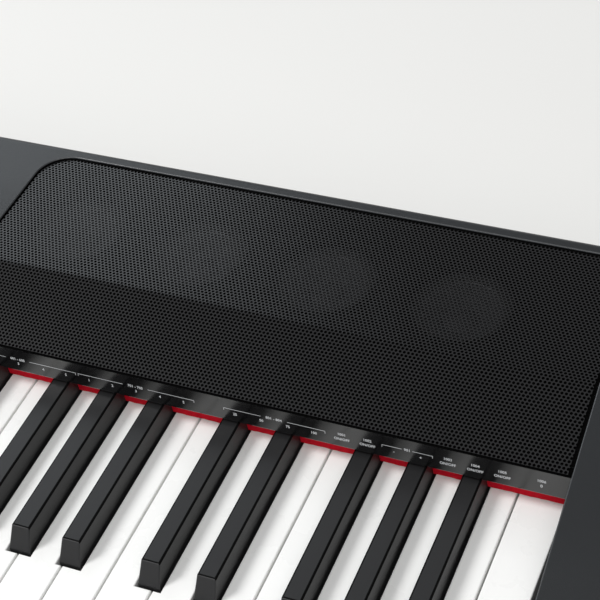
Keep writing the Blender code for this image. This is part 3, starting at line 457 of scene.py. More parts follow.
# The function strip
# A steep strip of piano-black ABS over the backs of the keys, moulded against a polished steel face, so that
# the keys mirror in it. Its lip underneath carries the felt.
STRIP_FOOT = (15.0, 85.0)
STRIP_HEAD = (16.7, 101.0)
STRIP_ROUND = 1.2
# Piano-black ABS, polished in the mould: a deep black that mirrors, with a slight ripple and wipe marks.
gloss_abs, place = new_material("piano_black_polished_abs")
wipe = add_node(gloss_abs, "ShaderNodeTexNoise", {"Vector": place, "Scale": 60.0, "Detail": 5.0})
wipe_gloss = add_node(gloss_abs, "ShaderNodeMapRange", {
    "Value": wipe.outputs["Fac"], "From Min": 0.35, "From Max": 0.7, "To Min": 0.17, "To Max": 0.24,
})
ripple = add_node(gloss_abs, "ShaderNodeTexNoise", {"Vector": place, "Scale": 35.0, "Detail": 1.0})
gloss_bump = add_node(gloss_abs, "ShaderNodeBump", {"Height": ripple.outputs["Fac"], "Distance": 0.0001})
close_material(gloss_abs, {
    "Base Color": linear("#060607"), "Roughness": wipe_gloss.outputs[0], "Normal": gloss_bump.outputs[0],
    "IOR": 1.72,
})
bm = copy_of("function_strip")
foot_edges = [edge for edge in creases(bm, 50.0) if all(v.co.y < STRIP_FOOT[0] + 0.5 for v in edge.verts)]
round_edges(bm, foot_edges, STRIP_ROUND, 4)
for face in bm.faces:
    # The flange under the grille's front edge is painted near-black like the deck, as shade under the grille.
    face.material_index = int(face.normal.z > 0.5 and face.calc_center_median().y > STRIP_HEAD[0])
strip = piece_from("gloss_function_strip", bm, [gloss_abs, recess_painted_shade])
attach(strip, "piano_case")
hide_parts("function_strip")

# The strip's printing
# Plain numbers in white ink, pad printed over the keys that they belong to, with thin brackets over each
# group. They say which key sets which value while the function button is held.
LETTER = 2.2
INK = 0.02
BRACKET_UP = 8.1
VALUES_UP = 5.3
LABEL_SHIFT = 1.6
SHIFT_GROWTH = 0.0137
SHIFT_MOST = 5.3
BRACKET_REACH = 5.9
BRACKET_HOOK = 1.4
BRACKET_LINE = 0.24
CHARACTER = 1.44
TEXT_MARGIN = 0.5
KEY_PITCH = 23.6
KEY_GAP = 1.0
BLACK_BASE = 11.5
BLACK_GAP = 0.9
FIRST_NOTE = 21
LAST_NOTE = 108
WHITE_STEPS = {0: 0, 2: 1, 4: 2, 5: 3, 7: 4, 9: 5, 11: 6}
BLACK_CENTRES = {1: 0.9, 3: 2.1, 6: 3 + 6 / 7, 8: 5.0, 10: 3 + 22 / 7}
keys_half = 26 * KEY_PITCH

# White pad-printing ink: a flat, slightly broken film.
print_ink, place = new_material("white_pad_print_ink")
film = add_node(print_ink, "ShaderNodeTexNoise", {"Vector": place, "Scale": 3000.0, "Detail": 2.0})
ink_tint = add_node(
    print_ink, "ShaderNodeMix", {0: film.outputs["Fac"], 6: linear("#b4b6b8"), 7: linear("#d6d8da")},
    data_type="RGBA",
)
close_material(print_ink, {"Base Color": ink_tint.outputs[2], "Roughness": 0.6})


def is_white(note):
    return note % 12 in WHITE_STEPS


def octave_left(note):
    """The left edge of the C of this note's octave."""
    return -keys_half + (7 * (note // 12 - 1) - 5) * KEY_PITCH


def black_centre(note):
    return octave_left(note) + BLACK_CENTRES[note % 12] * KEY_PITCH


def front_span(note):
    """How far the front part of a white key reaches to each side."""
    left = octave_left(note) + WHITE_STEPS[note % 12] * KEY_PITCH + KEY_GAP / 2
    return left, left + KEY_PITCH - KEY_GAP


def tail_span(note):
    """How far the back part of a white key reaches to each side, between its black neighbours."""
    left, right = front_span(note)
    slot = BLACK_BASE / 2 + BLACK_GAP
    if note > FIRST_NOTE and not is_white(note - 1):
        left = black_centre(note - 1) + slot
    if note < LAST_NOTE and not is_white(note + 1):
        right = black_centre(note + 1) - slot
    return left, right


def label_x(note):
    """Where a key's label is printed. The print is a little narrower than the row of keys."""
    middle = sum(tail_span(note)) / 2 if is_white(note) else black_centre(note)
    return middle + min(SHIFT_MOST, LABEL_SHIFT + SHIFT_GROWTH * (keys_half - middle))


def lettering(bm, text, size, spot):
    """Add printed text to bm. spot takes it from its own middle to where it is printed."""
    curve = bpy.data.curves.new("lettering", "FONT")
    curve.body = text
    curve.size = size
    curve.extrude = INK / 2
    curve.offset = 0.02 * size
    curve.resolution_u = 2
    curve.align_x = "CENTER"
    curve.align_y = "CENTER"
    shown = bpy.data.objects.new("lettering", curve)
    bpy.context.scene.collection.objects.link(shown)
    graph = bpy.context.evaluated_depsgraph_get()
    flat = bpy.data.meshes.new_from_object(shown.evaluated_get(graph))
    flat.transform(spot)
    bm.from_mesh(flat)
    bpy.data.objects.remove(shown)
    bpy.data.meshes.remove(flat)
    bpy.data.curves.remove(curve)


def printed_bar(bm, x_low, x_high, y_low, y_high, spot):
    """Add a thin printed line to bm."""
    made = bmesh.ops.create_cube(bm, size=1.0)["verts"]
    bmesh.ops.scale(bm, vec=(x_high - x_low, y_high - y_low, INK), verts=made)
    bmesh.ops.translate(bm, vec=((x_low + x_high) / 2, (y_low + y_high) / 2, 0), verts=made)
    bmesh.ops.transform(bm, matrix=spot, verts=made)


strip_up = Vector((0, STRIP_HEAD[0] - STRIP_FOOT[0], STRIP_HEAD[1] - STRIP_FOOT[1])).normalized()
strip_out = Vector((1, 0, 0)).cross(strip_up)


def on_strip(x, height):
    """From lettering's own plane to the strip's face, this far up from its lower edge."""
    spot = Vector((x, *STRIP_FOOT)) + strip_up * height + strip_out * INK
    return Matrix.Translation(spot) @ Matrix(((1, 0, 0), strip_up, strip_out)).transposed().to_4x4()


def bracket(bm, first, last, middle):
    """A line over a group of keys, turned down at both ends and open in the middle for the group's number."""
    low = label_x(first) - BRACKET_REACH
    high = label_x(last) + BRACKET_REACH
    gap = CHARACTER / 2 * len(middle) + TEXT_MARGIN
    centre = (low + high) / 2
    half = BRACKET_LINE / 2
    for start, end in ((low, centre - gap), (centre + gap, high)):
        printed_bar(bm, start, end, -half, half, on_strip(0, BRACKET_UP))
    for end in (low, high):
        printed_bar(bm, end - half, end + half, -BRACKET_HOOK, 0, on_strip(0, BRACKET_UP))
    lettering(bm, middle, LETTER, on_strip(centre, BRACKET_UP))


bm = bmesh.new()
for group, start in enumerate(range(61, 96, 5), 1):
    bracket(bm, start, start + 4, f"{group}01 - {group}05")
    for value in range(5):
        lettering(bm, str(value + 1), LETTER, on_strip(label_x(start + value), VALUES_UP))
bracket(bm, 97, 100, "801 - 804")
for note, text in ((97, "25"), (98, "50"), (99, "75"), (100, "100")):
    lettering(bm, text, LETTER, on_strip(label_x(note), VALUES_UP))
bracket(bm, 103, 104, "901")
for note, text in ((103, "-"), (104, "+"), (108, "0")):
    lettering(bm, text, LETTER * 1.1, on_strip(label_x(note), VALUES_UP))
for note, text in ((101, "1001"), (102, "1002"), (105, "1003"), (106, "1004"), (107, "1005"), (108, "1006")):
    lettering(bm, text, LETTER, on_strip(label_x(note), BRACKET_UP + 0.2))
for note in (101, 102, 105, 106, 107):
    lettering(bm, "ON/OFF", LETTER, on_strip(label_x(note), VALUES_UP))
printing = piece_from("strip_printing", bm, [print_ink], even=False)
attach(printing, "piano_case")

# The felt
# A strip of red wool felt behind the keys, cut with a knife and glued under the strip's lip, to hide the
# works and to hush the keys' tails. Its face is fuzzy and its lower edge a little uneven.
FELT_CUTS = 500
FUZZ = 0.1
FELT_FORWARD = 0.3
felt_low, felt_high = corners("felt_strip")
# Pressed wool: very dull, with a soft sheen at a slant. The fibres are drawn 0.4 mm wide so that they show.
red_felt, place = new_material("red_pressed_wool_felt")
fibre = add_node(red_felt, "ShaderNodeTexNoise", {"Vector": place, "Scale": 2500.0, "Detail": 4.0})
tufts = add_node(red_felt, "ShaderNodeTexNoise", {"Vector": place, "Scale": 500.0, "Detail": 3.0})
felt_tint = add_node(
    red_felt, "ShaderNodeMix", {0: tufts.outputs["Fac"], 6: linear("#a40318"), 7: linear("#d80a26")},
    data_type="RGBA",
)
felt_bump = add_node(red_felt, "ShaderNodeBump", {"Height": fibre.outputs["Fac"], "Distance": 0.0002})
close_material(red_felt, {
    "Base Color": felt_tint.outputs[2], "Roughness": 0.95, "Normal": felt_bump.outputs[0],
    "Sheen Weight": 0.2, "Sheen Roughness": 0.5, "Sheen Tint": linear("#e03040"), "IOR": 1.3,
})
bm = bmesh.new()
bmesh.ops.create_cube(bm, size=1.0)
bmesh.ops.scale(bm, vec=felt_high - felt_low, verts=bm.verts)
bmesh.ops.translate(bm, vec=(felt_low + felt_high) / 2, verts=bm.verts)
long_edges = [edge for edge in bm.edges if abs(edge.verts[0].co.x - edge.verts[1].co.x) > 1]
bmesh.ops.subdivide_edges(bm, edges=long_edges, cuts=FELT_CUTS, use_grid_fill=True)
upright_edges = [edge for edge in bm.edges if abs(edge.verts[0].co.z - edge.verts[1].co.z) > 1]
bmesh.ops.subdivide_edges(bm, edges=upright_edges, cuts=3, use_grid_fill=True)
for vert in bm.verts:
    fuzz = FUZZ * math.sin(vert.co.x * 2.9) * math.sin(vert.co.x * 0.73 + vert.co.z) - FELT_FORWARD
    vert.co.y += fuzz if vert.co.y < felt_low.y + 0.1 else 0.0
    vert.co.z += fuzz if vert.co.z < felt_low.z + 0.1 else 0.0
felt = piece_from("red_felt_strip", bm, [red_felt])
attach(felt, "piano_case")
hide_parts("felt_strip")

# The speaker grilles
# A folded sheet over each pair of recesses, moulded in black ABS with thousands of round holes in rows.
# It is laid in its recess and held from below. The holes' walls are painted near-black as shade.
HOLE_PITCH = 2.1
HOLE_ROW = HOLE_PITCH * math.sin(math.pi / 3)
HOLE_RADIUS = 0.79
HOLE_SIDES = 8
SLOPE_SHIFT = 0.72
SHEET = 0.4
FOLD_ROUND = 1.5
CORNER_ROUND = 17.0
CORNER_STEPS = 10
CORNER_NEAR = 3
INNER_GAP = 0.1
OUTER_GAP = 1.7
COLUMNS = 176
COLUMN_BLOCK = 22
SLOPE_ROWS = 26
FLAT_ROWS = 24
# Black ABS, eroded: satin webs, each with a small highlight.
grille_abs = moulded_plastic("black_satin_abs", "#111112", "#161617", 0.28, 0.4, 0.02)


def hole_patch(above, below):
    """One hole in its own patch of sheet. above and below are how far the next rows are shifted, which puts
    a corner of theirs on this patch's edge."""
    bm = bmesh.new()
    bmesh.ops.create_circle(bm, segments=HOLE_SIDES, radius=HOLE_RADIUS)
    half = HOLE_PITCH / 2
    tall = HOLE_ROW / 2
    outline = (
        (-half, -tall), (half - below, -tall), (half, -tall),
        (half, tall), (above - half, tall), (-half, tall),
    )
    points = [bm.verts.new((x, y, 0)) for x, y in outline]
    for n, point in enumerate(points):
        bm.edges.new((points[n - 1], point))
    bmesh.ops.triangle_fill(bm, use_beauty=True, edges=bm.edges, normal=(0, 0, 1))
    return bm


def laid_out(bm, step, count):
    """Repeat everything in bm, each copy a step further."""
    pattern = bm.verts[:] + bm.edges[:] + bm.faces[:]
    for n in range(1, count):
        made = bmesh.ops.duplicate(bm, geom=pattern)["geom"]
        bmesh.ops.translate(bm, vec=Vector(step) * n, verts=verts_in(made))
    return bm


def hole_row(above, below):
    """A row of holes along X, a little longer than the grille."""
    row = laid_out(hole_patch(above, below), (HOLE_PITCH, 0, 0), COLUMN_BLOCK)
    return laid_out(row, (HOLE_PITCH * COLUMN_BLOCK, 0, 0), COLUMNS // COLUMN_BLOCK)


def trimmed(bm, at, outward, near=None):
    """Cut away what lies beyond a line, all along it or only where near says."""
    faces = bm.faces[:] if near is None else [face for face in bm.faces if near(face.verts[0].co)]
    geom = list({item for face in faces for item in (face, *face.edges, *face.verts)})
    bmesh.ops.bisect_plane(bm, geom=geom, dist=0.0005, plane_co=at, plane_no=outward, clear_outer=True)


grille_low, grille_high = corners("right_grille")
inner_x = grille_low.x + INNER_GAP
outer_x = grille_high.x - OUTER_GAP


def grille_mesh(name, bm):
    """Trim rows of holes to the grille's outline, fold them over the case's surface and give them thickness.
    They come in as they lie on the flat sheet, with the fold at y 0."""
    bmesh.ops.remove_doubles(bm, verts=bm.verts, dist=0.02)
    front = (grille_low.y - FOLD_Y) / math.cos(SLOPE)
    back = grille_high.y - FOLD_Y
    trimmed(bm, (inner_x, 0, 0), (-1, 0, 0))
    trimmed(bm, (outer_x, 0, 0), (1, 0, 0))
    lowest = min(vert.co.y for vert in bm.verts)
    highest = max(vert.co.y for vert in bm.verts)
    if lowest < front:
        trimmed(bm, (0, front, 0), (0, -1, 0))
    if highest > back:
        trimmed(bm, (0, back, 0), (0, 1, 0))
        pivot_y = back - CORNER_ROUND
        reach = CORNER_ROUND * math.cos(math.pi / 4 / CORNER_STEPS)
        for side, end_x in ((-1, inner_x), (1, outer_x)):
            pivot_x = end_x - side * CORNER_ROUND
            for step in range(CORNER_STEPS):
                angle = math.pi / 2 * (step + 0.5) / CORNER_STEPS
                outward = Vector((side * math.cos(angle), math.sin(angle), 0))
                trimmed(
                    bm, Vector((pivot_x, pivot_y, 0)) + outward * reach, outward,
                    lambda co: (co.x - pivot_x) * side > -CORNER_NEAR and co.y > pivot_y - CORNER_NEAR,
                )
    for vert in bm.verts:
        y = vert.co.y
        vert.co.y = FOLD_Y + (y if y > 0 else y * math.cos(SLOPE))
        from_fold = vert.co.y - FOLD_Y
        vert.co.z = surface(vert.co.y, RECESS)
        if abs(from_fold) < FOLD_ROUND:
            drop = math.tan(SLOPE) * (FOLD_ROUND - from_fold) ** 2 / (4 * FOLD_ROUND)
            vert.co.z = grille_top - drop
    sheet = bmesh.ops.extrude_face_region(bm, geom=bm.faces[:], use_keep_orig=True)["geom"]
    bmesh.ops.translate(bm, vec=(0, 0, -SHEET), verts=verts_in(sheet))
    bmesh.ops.recalc_face_normals(bm, faces=bm.faces)
    bm.normal_update()
    # The walls of the holes take the near-black material: painted shade inside each hole.
    for face in bm.faces:
        face.material_index = int(abs(face.normal.z) < 0.3)
    bmesh.ops.scale(bm, vec=(0.001, 0.001, 0.001), verts=bm.verts)
    mesh = bpy.data.meshes.new(name)
    bm.to_mesh(mesh)
    bm.free()
    mesh.materials.append(grille_abs)
    mesh.materials.append(recess_painted_shade)
    return mesh


start_x = grille_low.x - 1.2 * HOLE_PITCH
bands = []
bm = hole_row(SLOPE_SHIFT, SLOPE_SHIFT)
bmesh.ops.translate(bm, vec=(start_x - SLOPE_SHIFT, -HOLE_ROW, 0), verts=bm.verts)
laid_out(bm, (-SLOPE_SHIFT, -HOLE_ROW, 0), SLOPE_ROWS - 1)
fold_row = hole_row(HOLE_PITCH / 2, SLOPE_SHIFT)
bmesh.ops.translate(fold_row, vec=(start_x, 0, 0), verts=fold_row.verts)
fold_mesh = bpy.data.meshes.new("fold_row")
fold_row.to_mesh(fold_mesh)
fold_row.free()
bm.from_mesh(fold_mesh)
bpy.data.meshes.remove(fold_mesh)
bands.append(("slope", grille_mesh("grille_slope", bm)))
for band, first in (("front", 1), ("back", 1 + FLAT_ROWS)):
    bm = laid_out(hole_row(HOLE_PITCH / 2, HOLE_PITCH / 2), (HOLE_PITCH / 2, HOLE_ROW, 0), 2)
    laid_out(bm, (0, 2 * HOLE_ROW, 0), FLAT_ROWS // 2)
    offset = start_x - (HOLE_PITCH / 2 if first % 2 else 0)
    bmesh.ops.translate(bm, vec=(offset, first * HOLE_ROW, 0), verts=bm.verts)
    bands.append((band, grille_mesh("grille_" + band, bm)))
for side, sign in (("right", 1), ("left", -1)):
    for band, mesh in bands:
        if sign < 0:
            mesh = mesh.copy()
            mesh.transform(Matrix.Scale(-1, 4, (1, 0, 0)))
            mesh.flip_normals()
        grille = bpy.data.objects.new(f"{side}_grille_{band}", mesh)
        bpy.context.scene.collection.objects.link(grille)
        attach(grille, "piano_case")
        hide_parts(side + "_grille")

# The speakers
# Four small drivers behind each grille: a pressed paper cone with a dust cap, a rubber surround and a steel
# basket, screwed under the windows of the deck. They show as faint pale discs through the holes.
# Pressed paper: dull and fibrous, dark grey.
cone_paper = dull_surface("pressed_cone_paper", 900.0, 5.0, "#232325", "#2e2e30", 0.8, 0.0001)
# Steel, black powder coat: a dull shine on the basket and the magnet.
basket_steel = moulded_plastic("black_powder_coated_steel", "#19191a", "#232325", 0.5, 0.5, 0.02)
CONE_RADIUS = 22.5
CONE_SIDES = 56
DUST_CAP = 9.0
for side in ("left", "right"):
    for number in range(1, 5):
        node = f"{side}_speaker_{number}"
        low, high = corners(node)
        centre = (low + high) / 2
        tall = high.z - low.z
        flange = (high.x - low.x) / 2
        bm = turned([
            (0, tall - 6.5), (3.0, tall - 6.7), (6.0, tall - 7.4), (DUST_CAP - 0.8, tall - 8.6),
            (DUST_CAP, tall - 9.0), (CONE_RADIUS - 7, tall - 4.4), (CONE_RADIUS - 2, tall - 1.9),
            (CONE_RADIUS - 1.4, tall - 1.4), (CONE_RADIUS - 0.7, tall - 0.6), (CONE_RADIUS + 0.2, tall - 0.2),
            (CONE_RADIUS + 1.1, tall - 0.6), (CONE_RADIUS + 1.6, tall - 1.0), (CONE_RADIUS + 2.2, tall),
            (flange - 0.4, tall), (flange, tall - 0.4), (flange, tall - 2.2), (26.5, tall - 2.5),
            (17.0, tall - 14.0), (17.0, 0.6), (16.4, 0), (0, 0),
        ], CONE_SIDES)
        for face in bm.faces:
            middle = face.calc_center_median()
            radius = math.hypot(middle.x, middle.y)
            if radius > CONE_RADIUS - 2 or middle.z < tall - 9.5:
                face.material_index = 2 if middle.z > tall - 1.5 and radius < CONE_RADIUS + 1.8 else 1
        bmesh.ops.translate(bm, vec=(centre.x, centre.y, low.z), verts=bm.verts)
        speaker = piece_from(node + "_driver", bm, [cone_paper, basket_steel, foot_rubber])
        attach(speaker, "piano_case")
        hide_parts(node)

# The white keys
# 52 hollow keys, injection moulded in ivory-white acrylic with polished tops, each on its own pivot.
# Their top edges are slightly rounded, and each has a deeper lip in front.
KEY_TOP = 72.0
KEY_BOTTOM = 57.0
KEY_FRONT = -133.0
KEY_TAIL = 100.0
KEY_WALL = 2.2
KEY_LIP = 5.0
NOTCH_Y = -81.2
WHITE_ROUND = 0.7
LOW_END = 48
MID_END = 72
GROUPS_END = 88
NOTE_LETTERS = ("C", "C_sharp", "D", "D_sharp", "E", "F", "F_sharp", "G", "G_sharp", "A", "A_sharp", "B")
# White acrylic, polished in the mould: bright, hard and glossy, with faint marks from fingers.
key_acrylic, place = new_material("ivory_white_moulded_acrylic")
handling = add_node(key_acrylic, "ShaderNodeTexNoise", {"Vector": place, "Scale": 45.0, "Detail": 5.0})
acrylic_tint = add_node(
    key_acrylic, "ShaderNodeMix", {0: handling.outputs["Fac"], 6: linear("#f0f0ee"), 7: linear("#f6f6f4")},
    data_type="RGBA",
)
acrylic_gloss = add_node(key_acrylic, "ShaderNodeMapRange", {
    "Value": handling.outputs["Fac"], "From Min": 0.3, "From Max": 0.7, "To Min": 0.24, "To Max": 0.34,
})
close_material(key_acrylic, {
    "Base Color": acrylic_tint.outputs[2], "Roughness": acrylic_gloss.outputs[0], "IOR": 1.49,
})


def note_body(note, colour):
    """The body that a key rides on: its own in the treble, and its group's elsewhere."""
    if note >= GROUPS_END:
        letter, *sharp = NOTE_LETTERS[note % 12].split("_")
        return "_".join([f"{colour}_key_{letter}{note // 12 - 1}", *sharp])
    group = "low" if note < LOW_END else "mid" if note < MID_END else "high"
    return f"{colour}_keys_{group}"


def extruded(ring, step):
    """A closed block from a flat ring of corners pushed along step."""
    bm = bmesh.new()
    face = bm.faces.new([bm.verts.new(corner) for corner in ring])
    pushed = bmesh.ops.extrude_face_region(bm, geom=[face], use_keep_orig=True)["geom"]
    bmesh.ops.translate(bm, vec=step, verts=verts_in(pushed))
    bmesh.ops.recalc_face_normals(bm, faces=bm.faces)
    bm.normal_update()
    return bm


def hollow(bm, depth):
    """Sink a pocket into the largest face that looks down, and return the corners of its rim."""
    bottom = max((face for face in bm.faces if face.normal.z < -0.9), key=lambda face: face.calc_area())
    outside = list(bottom.verts)
    bmesh.ops.inset_region(bm, faces=[bottom], thickness=KEY_WALL, use_even_offset=True)
    mouth = list(bottom.verts)
    roof = bmesh.ops.extrude_discrete_faces(bm, faces=[bottom])["faces"][0]
    bmesh.ops.translate(bm, vec=(0, 0, depth), verts=roof.verts)
    return outside + mouth


for note in range(FIRST_NOTE, LAST_NOTE + 1):
    if not is_white(note):
        continue
    left, right = front_span(note)
    tail_left, tail_right = tail_span(note)
    lip_back = KEY_FRONT + KEY_WALL + 0.5
    ring = [(left, lip_back), (left, KEY_FRONT), (right, KEY_FRONT), (right, lip_back)]
    if tail_right < right:
        ring += [(right, NOTCH_Y), (tail_right, NOTCH_Y)]
    ring += [(tail_right, KEY_TAIL), (tail_left, KEY_TAIL)]
    if tail_left > left:
        ring += [(tail_left, NOTCH_Y), (left, NOTCH_Y)]
    bm = extruded([(x, y, KEY_BOTTOM) for x, y in ring], (0, 0, KEY_TOP - KEY_BOTTOM))
    for vert in hollow(bm, KEY_TOP - KEY_BOTTOM - KEY_WALL):
        if vert.co.y < KEY_FRONT + KEY_WALL + 0.3:
            vert.co.z -= KEY_LIP
    top = [edge for edge in bm.edges if all(vert.co.z > KEY_TOP - 0.01 for vert in edge.verts)]
    front = [
        edge for edge in bm.edges
        if all(vert.co.y < KEY_FRONT + 0.01 for vert in edge.verts)
        and abs(edge.verts[0].co.z - edge.verts[1].co.z) > 10
    ]
    round_edges(bm, top + front, WHITE_ROUND)
    body = note_body(note, "white")
    key = piece_from(f"white_key_{note:03d}", bm, [key_acrylic])
    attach(key, body)
    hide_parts(body)

# The black keys
# 36 keys moulded in black styrene with a fine matt grain like ebony. The cap tapers upwards and its edges are
# rounded. Behind the felt it steps down to a low shank that runs back to the pivot.
BLACK_TOP = 83.3
BLACK_FRONT = -80.0
BLACK_NOSE = 6.0
CAP_BACK = 22.4
BLACK_TOP_WIDTH = 9.5
BLACK_ROUND = 0.9
# Black styrene, fine-eroded: soft, even and nearly matt.
black_styrene = moulded_plastic("matt_black_styrene", "#171718", "#1d1d1e", 0.44, 0.35, 0.012)
# The radius along the cap's edges, painted near-black and dull: a painted shade line along the cap.
cap_edge_shade_styrene = moulded_plastic("black_styrene_painted_edge_shade", "#090909", "#0c0c0c", 0.7, 0.35, 0.012, ior=1.15)
for note in range(FIRST_NOTE, LAST_NOTE + 1):
    if is_white(note):
        continue
    section = [
        (BLACK_FRONT, KEY_BOTTOM), (BLACK_FRONT, KEY_TOP), (BLACK_FRONT + BLACK_NOSE, BLACK_TOP),
        (CAP_BACK, BLACK_TOP), (CAP_BACK, KEY_TOP - 1), (KEY_TAIL, KEY_TOP - 1), (KEY_TAIL, KEY_BOTTOM),
    ]
    bm = extruded([(-BLACK_BASE / 2, y, z) for y, z in section], (BLACK_BASE, 0, 0))
    hollow(bm, KEY_TOP - KEY_BOTTOM - 1 - KEY_WALL)
    for vert in bm.verts:
        if vert.co.z > KEY_TOP + 0.3:
            vert.co.x *= BLACK_TOP_WIDTH / BLACK_BASE
    cap = [edge for edge in creases(bm, 15.0) if all(vert.co.z > KEY_TOP - 0.01 for vert in edge.verts)]
    shoulders = [
        edge for edge in bm.edges
        if all(abs(vert.co.y - BLACK_FRONT) < 0.01 and vert.co.z > KEY_BOTTOM - 0.1 for vert in edge.verts)
        and abs(edge.verts[0].co.z - edge.verts[1].co.z) > 10
    ]
    # The cap's top radius takes the near-black material: a painted dark line where the edge turns from the
    # light.
    for face in round_edges(bm, cap + shoulders, BLACK_ROUND, 4):
        sides = face.calc_center_median()
        face.material_index = int(sides.z > BLACK_TOP - 1 and sides.y > BLACK_FRONT + BLACK_NOSE)
    bmesh.ops.translate(bm, vec=(black_centre(note), 0, 0), verts=bm.verts)
    body = note_body(note, "black")
    key = piece_from(f"black_key_{note:03d}", bm, [black_styrene, cap_edge_shade_styrene])
    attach(key, body)
    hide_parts(body)

# The control panel
# A satin black plate let into the middle of the top, with a window for the display and holes for the knob
# and the buttons. White ink marks the knob's scale and the buttons.
# Black ABS with a satin polish: a little glossier than the case.
panel_abs = moulded_plastic("satin_black_abs", "#101112", "#151617", 0.28, 0.4, 0.008)
PANEL_ROUND = 0.25
panel_top = corners("control_panel")[1].z


def top_creases(bm, top, least=40.0):
    """The sharp edges of a piece that lie in its top face, at this height."""
    return [edge for edge in creases(bm, least) if all(vert.co.z > top - 0.05 for vert in edge.verts)]


bm = copy_of("control_panel")
round_edges(bm, top_creases(bm, panel_top), PANEL_ROUND, 2)
panel = piece_from("control_panel_plate", bm, [panel_abs])
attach(panel, "piano_case")
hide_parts("control_panel")

KNOB_SWEEP = 140
TICK_OUT = 15.2
NUMBER_OUT = 19.5


def on_panel(x, y):
    return Matrix.Translation((x, y, panel_top + INK))


def middle_of(node):
    low, high = corners(node)
    return (low + high) / 2


knob_at = middle_of("volume_knob")
bm = bmesh.new()
for step in range(11):
    angle = math.radians(-KNOB_SWEEP + 2 * KNOB_SWEEP * step / 10)
    out = Vector((math.sin(angle), math.cos(angle), 0))
    tick = on_panel(*(knob_at.xy + out.xy * TICK_OUT)) @ Matrix.Rotation(-angle, 4, "Z")
    printed_bar(bm, -0.2, 0.2, -1.1 if step % 5 else -1.5, 1.1, tick)
    if step % 5 == 0:
        lettering(bm, str(step), 3.4, on_panel(*(knob_at.xy + out.xy * NUMBER_OUT)))
power_at = middle_of("power_button")
lettering(bm, "ON/OFF", 3.0, on_panel(power_at.x, power_at.y + 12.5))
for node, text in (("minus_button", "-"), ("plus_button", "+"), ("function_button", "1")):
    spot = middle_of(node)
    lettering(bm, text, 4.0, on_panel(spot.x, spot.y + 9.5))
panel_printing = piece_from("panel_printing", bm, [print_ink], even=False)
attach(panel_printing, "piano_case")

# The display
# A dark window of tinted acrylic, let into the panel over a three-digit display.
# Lit segments show a plain number.
WINDOW_ROUND = 0.2
# Tinted acrylic, polished: nearly black, with sharp reflections.
tinted_acrylic, place = new_material("tinted_polished_acrylic")
smear = add_node(tinted_acrylic, "ShaderNodeTexNoise", {"Vector": place, "Scale": 80.0, "Detail": 5.0})
smear_gloss = add_node(tinted_acrylic, "ShaderNodeMapRange", {
    "Value": smear.outputs["Fac"], "From Min": 0.4, "From Max": 0.7, "To Min": 0.03, "To Max": 0.12,
})
close_material(tinted_acrylic, {
    "Base Color": linear("#07090d"), "Roughness": smear_gloss.outputs[0], "IOR": 1.49,
})
bm = copy_of("display_window")
round_edges(bm, top_creases(bm, panel_top), WINDOW_ROUND, 2)
window = piece_from("display_glass", bm, [tinted_acrylic])
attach(window, "piano_case")
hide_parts("display_window")
# Light-emitting diodes behind a diffuser: an even, cool white with soft ends.
segments, place = new_material("lit_display_segments")
glow = add_node(segments, "ShaderNodeTexNoise", {"Vector": place, "Scale": 300.0, "Detail": 1.0})
glow_tint = add_node(
    segments, "ShaderNodeMix", {0: glow.outputs["Fac"], 6: linear("#8fc6e0"), 7: linear("#b9e2f4")},
    data_type="RGBA",
)
close_material(segments, {
    "Base Color": glow_tint.outputs[2], "Emission Color": linear("#a8d8ee"), "Emission Strength": 0.5,
    "Roughness": 0.4,
})
SEGMENT = 4.6
SEGMENT_LINE = 0.9
DIGIT_PITCH = 9.0
# Of each segment: how far it stands across and along from the digit's middle, and whether it is upright.
SEGMENT_PLACES = {
    "a": (0, 1, 0), "b": (0.5, 0.5, 1), "c": (0.5, -0.5, 1), "d": (0, -1, 0), "e": (-0.5, -0.5, 1),
    "f": (-0.5, 0.5, 1), "g": (0, 0, 0),
}
window_at = middle_of("display_window")
bm = bmesh.new()
for digit, lit in enumerate(("bc", "abcdef", "abcdef"), -1):
    digit_x = window_at.x + digit * DIGIT_PITCH
    for letter in lit:
        across, along, stands = SEGMENT_PLACES[letter]
        spot = on_panel(digit_x + across * SEGMENT * 1.1, window_at.y + along * SEGMENT * 1.1)
        if stands:
            spot = spot @ Matrix.Rotation(math.pi / 2, 4, "Z")
        printed_bar(bm, -SEGMENT / 2, SEGMENT / 2, -SEGMENT_LINE / 2, SEGMENT_LINE / 2, spot)
digits = piece_from("display_digits", bm, [segments], even=False)
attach(digits, "piano_case")

# The volume knob
# A tapered knob of black ABS with fine ribs round its side, pushed onto the shaft of a rotary potentiometer.
# A white line moulded into its top points to the scale.
KNOB_RIBS = 40
# How far out the foot of each rib lies, as a share of the radius.
RIB_FOOT = 0.965
KNOB_GAP = 0.6
# Black ABS, fine-eroded: satin, brighter along the ribs.
knob_abs = moulded_plastic("black_ribbed_abs", "#161718", "#1e1f21", 0.38, 0.3, 0.01)
knob_low, knob_high = corners("volume_knob")
knob_radius = (knob_high.x - knob_low.x) / 2
seat = panel_top + KNOB_GAP
bm = turned([
    (0, knob_low.z), (3.0, knob_low.z), (3.0, seat), (knob_radius - 0.5, seat), (knob_radius, seat + 0.5),
    (knob_radius, seat + 1.4), (knob_radius - 0.35, seat + 1.8), (knob_radius - 1.0, knob_high.z - 1.4),
    (knob_radius - 1.3, knob_high.z - 0.5), (knob_radius - 2.0, knob_high.z),
    (knob_radius - 4.5, knob_high.z), (knob_radius - 5.5, knob_high.z - 0.4), (0, knob_high.z - 0.5),
], 2 * KNOB_RIBS)
for vert in bm.verts:
    around = math.atan2(vert.co.y, vert.co.x) / (2 * math.pi) * 2 * KNOB_RIBS
    on_side = seat + 1.6 < vert.co.z < knob_high.z - 1.2 and math.hypot(vert.co.x, vert.co.y) > 8
    if on_side and round(around) % 2:
        vert.co.x *= RIB_FOOT
        vert.co.y *= RIB_FOOT
bmesh.ops.translate(bm, vec=(knob_at.x, knob_at.y, 0), verts=bm.verts)
knob = piece_from("volume_knob_cap", bm, [knob_abs], seam=30.0)
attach(knob, "volume_knob")
